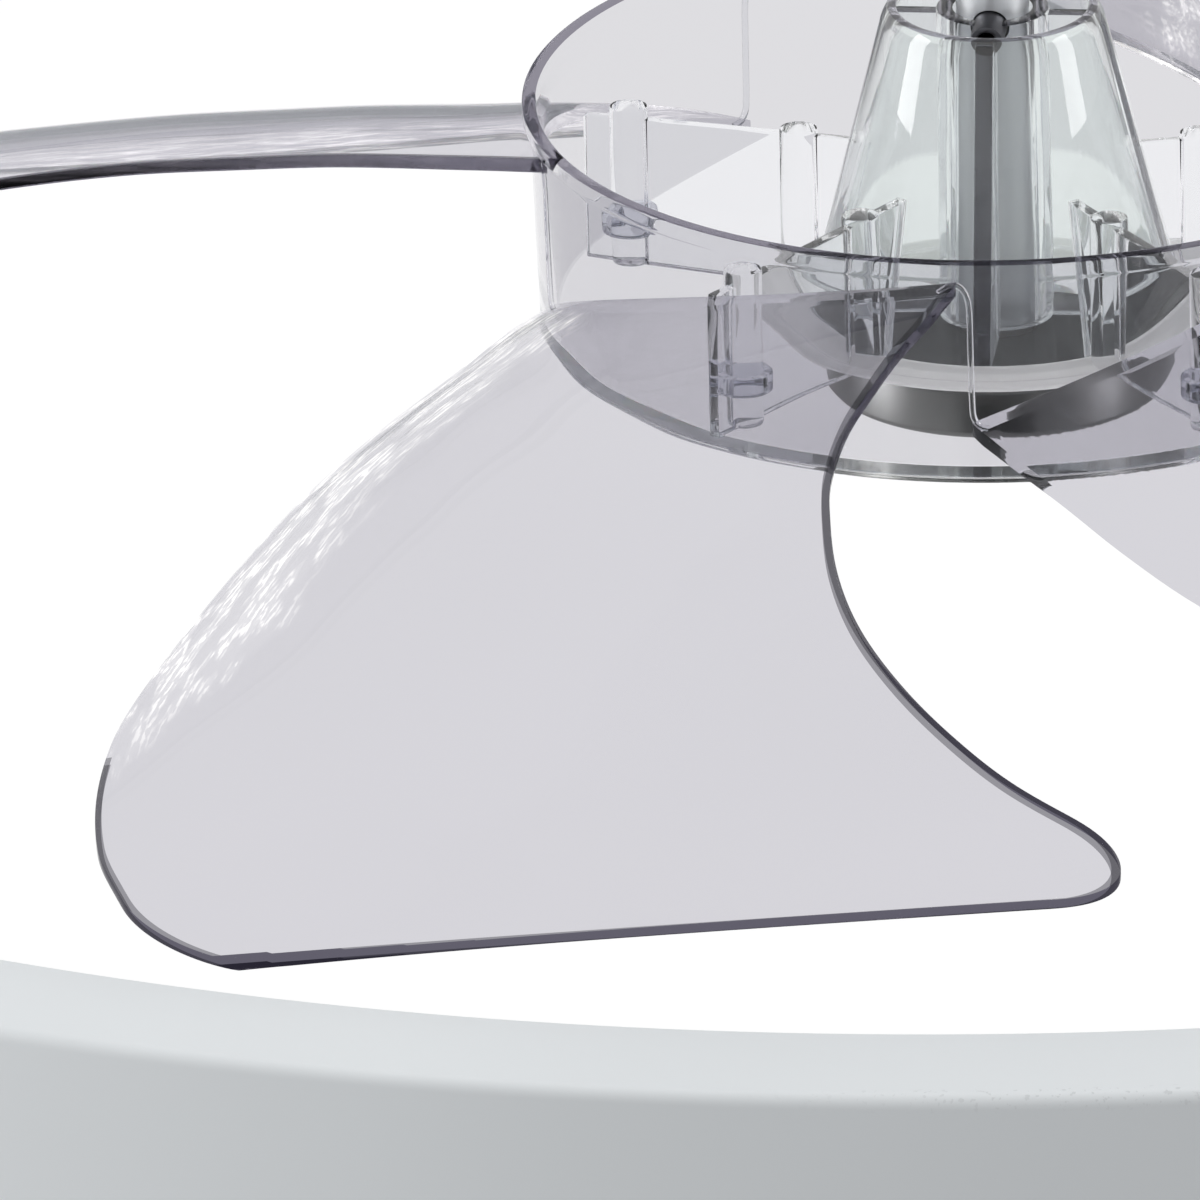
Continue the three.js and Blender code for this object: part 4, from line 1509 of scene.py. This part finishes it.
@dataclass
class ShaftLine:
    """What turns with the impeller: shaft, roll pin, seat washer, cap nut, rotor and magnets."""

    radius: float = 4.0
    foot: float = -7.9
    top: float = 95.5
    chamfer: float = 0.6
    pin_r: float = 1.8
    pin_bore: float = 1.1
    pin_half: float = 8.5
    pin_height: float = 35.6
    pin_turn: float = -2.4
    flange_r: float = 19.1
    nose_r: float = 10.4

    def shaft(self) -> bmesh.types.BMesh:
        """Shape the ground shaft with its chamfers and cross hole.

        Returns:
            A closed bmesh.
        """
        r, foot, top, c = self.radius, self.foot, self.top, self.chamfer
        profile = [(0, foot), (r - c, foot), (r, foot + c), (r, top - c), (r - c, top), (0, top)]
        return cut(lathe(profile, 64), self._bar(self.pin_r + 0.2, 9.0))

    def _bar(self, radius: float, half: float) -> bmesh.types.BMesh:
        """Shape a round bar where the pin lies."""
        return cross_bar(radius, half, self.pin_height, self.pin_turn)

    def pin(self) -> bmesh.types.BMesh:
        """Shape the hollow roll pin.

        Returns:
            A closed bmesh.
        """
        hollow = cut(self._bar(self.pin_r, self.pin_half), self._bar(self.pin_bore, 12.0))
        return bevel_corners(hollow, 0.15, 2)

    def nut(self) -> bmesh.types.BMesh:
        """Shape the cap nut: a thick flange with a rounded nose below.

        Returns:
            A closed bmesh.
        """
        r, n = self.flange_r, self.nose_r
        profile = [
            (0, -10.0), (n - 1.6, -10.0), (n, -9.4), (n + 0.8, -8.3), (n + 1.8, -7.9),
            (r - 0.6, -7.9), (r, -7.3), (r, -2.0), (r - 0.4, -1.6), (0, -1.6),
        ]  # fmt: skip
        body = lathe(rounded(profile, 0.35, 3), 120)
        return cut(body, cylinder(self.radius + 0.3, -8.2, 0.5, 48))

    def build(self) -> None:
        """Build the pieces of the shaft line and dress the rotor inside the motor."""
        washer = lathe(rounded([(4.4, -1.3), (16, -1.3), (16, -0.3), (4.4, -0.3)], 0.25, 2), 96)
        for name, shape, finish, slot, node in (
            ("fan_shaft", self.shaft(), Finish.STEEL, Slot.SHAFT, "motor_shaft"),
            ("cross_pin", self.pin(), Finish.PIN, Slot.ZINC, "roll_pin"),
            ("soft_washer", washer, Finish.RUBBER, Slot.RUBBER, "seat_washer"),
            ("dome_nut", self.nut(), Finish.NUT, Slot.CHROME, "cap_nut"),
        ):
            Piece(name, finish, Body.ROTOR, slot, (node,)).publish(shape)
        dress("rotor_core", Finish.CORE)
        dress("magnet_ring", Finish.MAGNET)


# ---------------------------------------------------------------------------------------------
# Light ring
# ---------------------------------------------------------------------------------------------


@dataclass
class LightRing:
    """The white ring round the impeller, its opal diffuser, and the posts that carry it."""

    outer: float = 260.0
    inner: float = 242.0
    top: float = 14.8
    bottom: float = -40.0
    wall: float = 1.5
    edge: float = 1.5
    diffuser_low: float = -44.0
    diffuser_lip: float = -14.6
    diffuser_wall: float = 1.8
    post_r: float = 4.0
    shoulder_r: float = 6.5
    arm_low: float = 100.7
    arm_high: float = 104.7
    azimuths: tuple[float, ...] = (-60.0, 60.0, 180.0)
    nut_round: float = 0.25

    def shell(self) -> bmesh.types.BMesh:
        """Shape the ring's shell, open below, with a rounded outer shoulder and rolled foot.

        Returns:
            A closed bmesh.
        """
        w, e, inner, outer, top, bottom = (
            self.wall, self.edge, self.inner, self.outer, self.top, self.bottom,
        )  # fmt: skip
        shoulder = [
            (outer - e + e * math.sin(a), top - e + e * math.cos(a))
            for a in (math.radians(x) for x in (90, 75, 60, 45, 30, 15, 0))
        ]
        profile = [
            (outer, bottom), *shoulder, (inner + 0.5, top), (inner + 0.15, top - 0.15),
            (inner, top - 0.5), (inner, bottom), (inner + w, bottom), (inner + w, top - w),
            (outer - w, top - w), (outer - w, bottom),
        ]  # fmt: skip
        return lathe(profile, 360)

    def diffuser(self) -> bmesh.types.BMesh:
        """Shape the opal channel that closes the shell from below.

        Returns:
            A closed bmesh.
        """
        inner, outer = self.inner + self.wall + 0.3, self.outer - self.wall - 0.3
        d, low, lip = self.diffuser_wall, self.diffuser_low, self.diffuser_lip
        profile = [
            (inner, low), (outer, low), (outer, lip), (outer - d, lip), (outer - d, low + d),
            (inner + d, low + d), (inner + d, lip), (inner, lip),
        ]  # fmt: skip
        return lathe(rounded(profile, 1.4, 4), 300)

    def post(self) -> bmesh.types.BMesh:
        """Shape a post: a rod with a shoulder on the ring and threads at both ends.

        Returns:
            A closed bmesh on the axis.
        """
        r, s, top, low, high = self.post_r, self.shoulder_r, self.top, self.arm_low, self.arm_high
        thread = [(3.0 if k % 2 else 2.75, low + 0.2 + 0.5 * k) for k in range(20)]
        profile = [
            (0, top - 11), (2.6, top - 11), (3, top - 10.4), (3, top + 0.3), (s, top + 0.3),
            (s, top + 2.6), (s - 0.4, top + 3), (r + 0.4, top + 4), (r, top + 4.8), (r, low - 0.7),
            (r - 0.4, low - 0.3), *thread, (2.5, high + 6), (0, high + 6),
        ]  # fmt: skip
        return lathe(profile, 48)

    def build(self) -> None:
        """Build the ring, its diffuser and its posts, and dress the board inside."""
        body = Piece("ring_body", Finish.WHITE, Body.FRAME, Slot.PAINT, ("ring_shell",))
        body.publish(self.shell())
        lens = Piece("ring_lens", Finish.OPAL, Body.FRAME, Slot.OPAL, ("ring_diffuser",))
        lens.publish(self.diffuser())
        dress("led_board", Finish.BOARD)
        middle = (self.outer + self.inner) / 2
        for k, azimuth in enumerate(self.azimuths, 1):
            at = polar(middle, azimuth)
            post = self.post()
            bmesh.ops.translate(post, verts=post.verts, vec=(at.x, at.y, 0))
            rod = Piece(f"ring_post_{k}", Finish.STEEL, Body.FRAME, Slot.SHAFT, (f"post_{k}",))
            rod.publish(post)
            rounded_node(f"arm_nut_{k}", f"dome_{k}", self.nut_round, Finish.CHROME, Slot.CHROME)
            rounded_node(f"ring_nut_{k}", f"under_nut_{k}", self.nut_round, Finish.ZINC, Slot.ZINC)


# ---------------------------------------------------------------------------------------------
# Motor, carrier and canopy
# ---------------------------------------------------------------------------------------------


@dataclass
class Motor:
    """The drum motor: two dished covers round bearings, stator and windings."""

    outer: float = 42.0
    wall: float = 2.0
    bottom: float = 58.0
    split: float = 77.0
    top: float = 97.0
    boss: float = 14.5
    bearing_r: float = 11.0
    bearing_low: Point2 = (68.8, 61.2)  # open end and seat of the lower bearing's pocket
    bearing_high: Point2 = (86.2, 93.8)
    shaft: float = 5.2
    vents: int = 12
    vent_half: float = 1.2
    vent_reach: Point2 = (20.0, 36.0)
    vent_round: float = 1.1

    def cover(self, up: int) -> bmesh.types.BMesh:
        """Shape one cover.

        Args:
            up: 1 for the top cover and -1 for the bottom one.

        Returns:
            The cover, with rounded shoulders and a rolled seam.
        """
        face = self.top if up > 0 else self.bottom
        seam = self.split + 0.2 * up
        pocket, seat = self.bearing_high if up > 0 else self.bearing_low
        outer, inner, bearing = self.outer, self.outer - self.wall, self.bearing_r + 0.3

        def z(depth: float) -> float:
            """Give the height of what lies a depth inside the cover's face."""
            return face - up * depth

        profile = [
            (self.shaft, z(0)), (outer - 3.5, z(0)), (outer - 1, z(1)), (outer, z(3.5)),
            (outer, seam), (inner, seam), (inner, z(4)), (inner - 2, z(self.wall)),
            (self.boss, z(self.wall)), (self.boss, pocket), (bearing, pocket), (bearing, seat),
            (self.shaft, seat),
        ]  # fmt: skip
        return lathe(rounded(profile, 1.0, 4), 144)

    def slots(self) -> bmesh.types.BMesh:
        """Shape the tools that cut the vents.

        Returns:
            A bmesh of separate closed blocks.
        """
        tools = []
        half, (near, far) = self.vent_half, self.vent_reach
        heights = (self.bottom - 1, self.bottom + self.wall + 1)
        for k in range(self.vents):
            slot = block((-half, half), (-far, -near), heights)
            upright = [e for e in slot.edges if abs(e.verts[0].co.z - e.verts[1].co.z) > 1]
            bevel_edges(slot, upright, self.vent_round, 5)
            tools.append(turn(slot, 360 / self.vents * k))
        return merge(tools)

    def build(self) -> None:
        """Build both covers and dress what is inside them."""
        lower = cut(self.cover(-1), self.slots())
        for name, shape, node in (
            ("motor_cap", self.cover(1), "motor_top_cover"),
            ("motor_cup", lower, "motor_bottom_cover"),
        ):
            Piece(name, Finish.COVER, Body.FRAME, Slot.PAINT, (node,)).publish(shape)
        for node, finish in (
            ("bearing_lower", Finish.STEEL),
            ("bearing_upper", Finish.STEEL),
            ("stator_core", Finish.CORE),
            ("winding_lower", Finish.COPPER),
            ("winding_upper", Finish.COPPER),
        ):
            dress(node, finish)


@dataclass
class Carrier:
    """The plate on the motor, its three arms, and the studs that hang it from the ceiling."""

    count: int = 3

    def build(self) -> None:
        """Round the edges of each CAD shape and dress it."""
        rounded_node("hub_plate", "carrier_plate", 0.5, Finish.COVER, Slot.PAINT)
        for k in range(1, self.count + 1):
            rounded_node(f"arm_{k}", f"carrier_arm_{k}", 0.7, Finish.COVER, Slot.PAINT)
            rounded_node(f"tie_stud_{k}", f"hanger_stud_{k}", 0.2, Finish.ZINC, Slot.ZINC)
            rounded_node(f"tie_nut_{k}", f"hanger_nut_{k}", 0.3, Finish.ZINC, Slot.ZINC)
            rounded_node(f"motor_screw_{k}", f"plate_screw_{k}", 0.2, Finish.ZINC, Slot.ZINC)


@dataclass
class Canopy:
    """The ceiling canopy with the bracket, terminal block and driver that it covers."""

    radius: float = 90.0
    floor_r: float = 76.0
    low: float = 105.0
    wall: float = 1.5
    bore: float = 12.0
    gap: float = 0.6  # between its rim and the ceiling

    def shell(self) -> bmesh.types.BMesh:
        """Shape the canopy as a spun dish.

        Returns:
            A closed bmesh.
        """
        low, top, r, f, w = self.low, -LEVEL - self.gap, self.radius, self.floor_r, self.wall
        profile = [
            (self.bore, low), (f, low), (f + 8.5, low + 2.6), (r - 0.8, low + 9), (r, low + 15),
            (r, top), (r - w, top), (r - w, low + 15.2), (f + 7.7, low + 4), (f - 0.2, low + w),
            (self.bore, low + w),
        ]  # fmt: skip
        return lathe(rounded(profile, 3.0, 5), 180)

    def build(self) -> None:
        """Build the canopy and dress what it covers."""
        dish = Piece("canopy_dish", Finish.COVER, Body.FRAME, Slot.PAINT, ("canopy",))
        dish.publish(self.shell())
        rounded_node("ceiling_bracket", "bracket_plate", 0.35, Finish.ZINC, Slot.ZINC)
        rounded_node("canopy_screw_1", "side_screw_1", 0.3, Finish.ZINC, Slot.ZINC)
        rounded_node("canopy_screw_2", "side_screw_2", 0.3, Finish.ZINC, Slot.ZINC)
        rounded_node("terminal_block", "wire_block", 0.3, Finish.TERMINAL, Slot.PLASTIC)
        rounded_node("driver_box", "driver_case", 0.8, Finish.PLASTIC, Slot.PLASTIC)


# ---------------------------------------------------------------------------------------------
# Studio
# ---------------------------------------------------------------------------------------------


@dataclass(frozen=True)
class Panel:
    """A flat lamp or card of the studio, which faces the impeller."""

    name: str
    place: Point3  # its middle, in metres
    size: Point2  # its width and height, in metres
    power: float  # a lamp's watts, or a card's brightness against the white surround's 1


@dataclass
class Studio:
    """The floor, the white surround, the lamps and the camera."""

    elevation: float = 21.513
    azimuth: float = 2.5729
    roll: float = -0.9427
    distance: float = 6.0
    hub_pixel: Point2 = (1000.525, 323.687)  # where the photograph shows the origin of LEVEL
    focal_px: float = 54931.1
    picture: float = 1200.0  # width and height of the photograph, in pixels
    sensor: float = 36.0
    clip: Point2 = (0.05, 200.0)
    ambient: Colour = (0.49, 0.495, 0.505)  # what matt surfaces see of the surround
    floor_z: float = -2.35
    floor_half: float = 20.0
    floor_grey: float = 0.86
    floor_glow: float = 1.06
    floor_glow_share: float = 0.92
    lamps: tuple[Panel, ...] = (
        Panel("overhead_box", (0.3, 0.3, 1.6), (1.5, 1.5), 15.5),
        Panel("left_box", (-1.8, -0.9, 0.2), (0.5, 1.2), 10.0),
    )
    cards: tuple[Panel, ...] = (
        Panel("left_card", (-1.6, -0.3, 0.0), (0.55, 1.6), 16.0),
        Panel("right_card", (1.6, -0.3, 0.0), (0.55, 1.6), 13.0),
        Panel("dark_card", (0.07, -1.7, -0.9), (1.5, 1.3), 0.0),
    )
    bounces: int = 40  # enough for a ray that passes every clear wall
    glossy_bounces: int = 12

    def camera(self) -> None:
        """Place the camera as the photograph was taken, from above the fan with a long lens."""
        e, az, roll = (math.radians(x) for x in (self.elevation, self.azimuth, self.roll))
        back = Vector((math.sin(az) * math.cos(e), -math.cos(az) * math.cos(e), math.sin(e)))
        place = Vector((0, 0, LEVEL * MM)) + back * self.distance
        up = Vector((0, 0, 1))
        right = (-back).cross(up).normalized()
        over = right.cross(-back)
        half = self.picture / 2
        x, y = self.hub_pixel
        aside, above = (x - half) / self.focal_px, (half - y) / self.focal_px
        aim = (-back - right * aside - over * above).normalized()
        right = aim.cross(up).normalized()
        over = right.cross(aim)
        turned = right * math.cos(roll) + over * math.sin(roll)
        raised = over * math.cos(roll) - right * math.sin(roll)
        data = bpy.data.cameras.new("view_camera")
        data.sensor_width = self.sensor
        data.lens = self.focal_px / self.picture * self.sensor
        data.clip_start, data.clip_end = self.clip
        made = bpy.data.objects.new("view_camera", data)
        bpy.context.scene.collection.objects.link(made)
        rows = Matrix((turned, raised, -aim)).transposed().to_4x4()
        rows.translation = place
        made.matrix_world = rows
        bpy.context.scene.camera = made

    @staticmethod
    def _seen(tree: bpy.types.NodeTree) -> bpy.types.NodeSocket:
        """Tell what is seen by eye, in a mirror or through glass from what only lights a surface.

        Args:
            tree: The shader tree that gets the nodes.

        Returns:
            A socket that is 1 for camera, glossy and transmission rays.
        """
        path = tree.nodes.new("ShaderNodeLightPath")
        value = path.outputs["Is Camera Ray"]
        for name in ("Is Glossy Ray", "Is Transmission Ray"):
            most = tree.nodes.new("ShaderNodeMath")
            most.operation = "MAXIMUM"
            tree.links.new(value, most.inputs[0])
            tree.links.new(path.outputs[name], most.inputs[1])
            value = most.outputs[0]
        return value

    @staticmethod
    def _bare_material(name: str) -> bpy.types.Material:
        """Make a material whose output waits for a shader.

        Args:
            name: The material's name.

        Returns:
            The material.
        """
        material = bpy.data.materials.new(name)
        material.use_nodes = True
        tree = material.node_tree
        tree.nodes.remove(tree.nodes["Principled BSDF"])
        return material

    def surround(self) -> None:
        """Make the surround white to the eye and a soft grey light for the surfaces."""
        world = bpy.data.worlds.new("surround")
        bpy.context.scene.world = world
        world.use_nodes = True
        tree = world.node_tree
        shade = tree.nodes["Background"]
        shade.inputs["Strength"].default_value = 1.0
        mix = tree.nodes.new("ShaderNodeMix")
        mix.data_type = "RGBA"
        tree.links.new(self._seen(tree), mix.inputs["Factor"])
        mix.inputs[6].default_value = (*self.ambient, 1.0)
        mix.inputs[7].default_value = (1.0, 1.0, 1.0, 1.0)
        tree.links.new(mix.outputs[2], shade.inputs["Color"])

    def floor(self) -> None:
        """Lay a pale floor below the fan, clear when it is looked at from underneath."""
        bm = bmesh.new()
        bmesh.ops.create_grid(bm, x_segments=1, y_segments=1, size=self.floor_half)
        bmesh.ops.translate(bm, verts=bm.verts, vec=(0, 0, self.floor_z))
        made = add_object("studio_floor", bm)
        material = self._bare_material("studio_floor")
        tree = material.node_tree
        matt = tree.nodes.new("ShaderNodeBsdfDiffuse")
        matt.inputs["Color"].default_value = (*[self.floor_grey] * 3, 1.0)
        glow = tree.nodes.new("ShaderNodeEmission")
        glow.inputs["Strength"].default_value = self.floor_glow
        part = tree.nodes.new("ShaderNodeMath")
        part.operation = "MULTIPLY"
        tree.links.new(self._seen(tree), part.inputs[0])
        part.inputs[1].default_value = self.floor_glow_share
        white = tree.nodes.new("ShaderNodeMixShader")
        tree.links.new(part.outputs[0], white.inputs["Fac"])
        tree.links.new(matt.outputs[0], white.inputs[1])
        tree.links.new(glow.outputs[0], white.inputs[2])
        clear = tree.nodes.new("ShaderNodeBsdfTransparent")
        sides = tree.nodes.new("ShaderNodeMixShader")
        behind = tree.nodes.new("ShaderNodeNewGeometry").outputs["Backfacing"]
        tree.links.new(behind, sides.inputs["Fac"])
        tree.links.new(white.outputs[0], sides.inputs[1])
        tree.links.new(clear.outputs[0], sides.inputs[2])
        tree.links.new(sides.outputs[0], tree.nodes["Material Output"].inputs["Surface"])
        made.data.materials.append(material)

    def card(self, panel: Panel) -> None:
        """Stand a card that only glossy surfaces see.

        Args:
            panel: The card.
        """
        place = Vector(panel.place)
        facing = Vector((place.x, place.y, 0.0)).normalized().to_track_quat("Z", "Y")
        bm = bmesh.new()
        bmesh.ops.create_grid(bm, x_segments=1, y_segments=1, size=0.5)
        bmesh.ops.scale(bm, verts=bm.verts, vec=(*panel.size, 1.0))
        bmesh.ops.transform(bm, verts=bm.verts, matrix=facing.to_matrix().to_4x4())
        bmesh.ops.translate(bm, verts=bm.verts, vec=place)
        made = add_object(panel.name, bm)
        material = self._bare_material(panel.name)
        tree = material.node_tree
        light = tree.nodes.new("ShaderNodeEmission")
        light.inputs["Strength"].default_value = panel.power
        tree.links.new(light.outputs[0], tree.nodes["Material Output"].inputs["Surface"])
        made.data.materials.append(material)
        made.visible_camera = made.visible_diffuse = False
        made.visible_transmission = made.visible_shadow = False

    @staticmethod
    def lamp(panel: Panel) -> None:
        """Hang a soft box that isn't seen itself.

        Args:
            panel: The lamp.
        """
        data = bpy.data.lights.new(panel.name, "AREA")
        data.shape = "RECTANGLE"
        data.size, data.size_y = panel.size
        data.energy = panel.power
        made = bpy.data.objects.new(panel.name, data)
        bpy.context.scene.collection.objects.link(made)
        made.location = panel.place
        made.visible_glossy = made.visible_transmission = made.visible_camera = False
        aim = Vector((0, 0, LEVEL * MM)) - Vector(panel.place)
        made.rotation_euler = aim.to_track_quat("-Z", "Y").to_euler()

    def build(self) -> None:
        """Set up the whole studio."""
        self.camera()
        self.surround()
        self.floor()
        for panel in self.lamps:
            self.lamp(panel)
        for panel in self.cards:
            self.card(panel)
        scene = bpy.context.scene
        scene.view_settings.view_transform = "Standard"
        scene.cycles.max_bounces = self.bounces
        scene.cycles.transmission_bounces = self.bounces
        scene.cycles.glossy_bounces = self.glossy_bounces


def main() -> None:
    """Build the studio and every sub-assembly in order."""
    logging.basicConfig(level=logging.INFO, format="%(name)s %(message)s")
    Studio().build()
    for assembly in (Impeller(), ShaftLine(), LightRing(), Motor(), Carrier(), Canopy()):
        log.info("building %s", type(assembly).__name__)
        assembly.build()


if __name__ == "__main__":
    main()
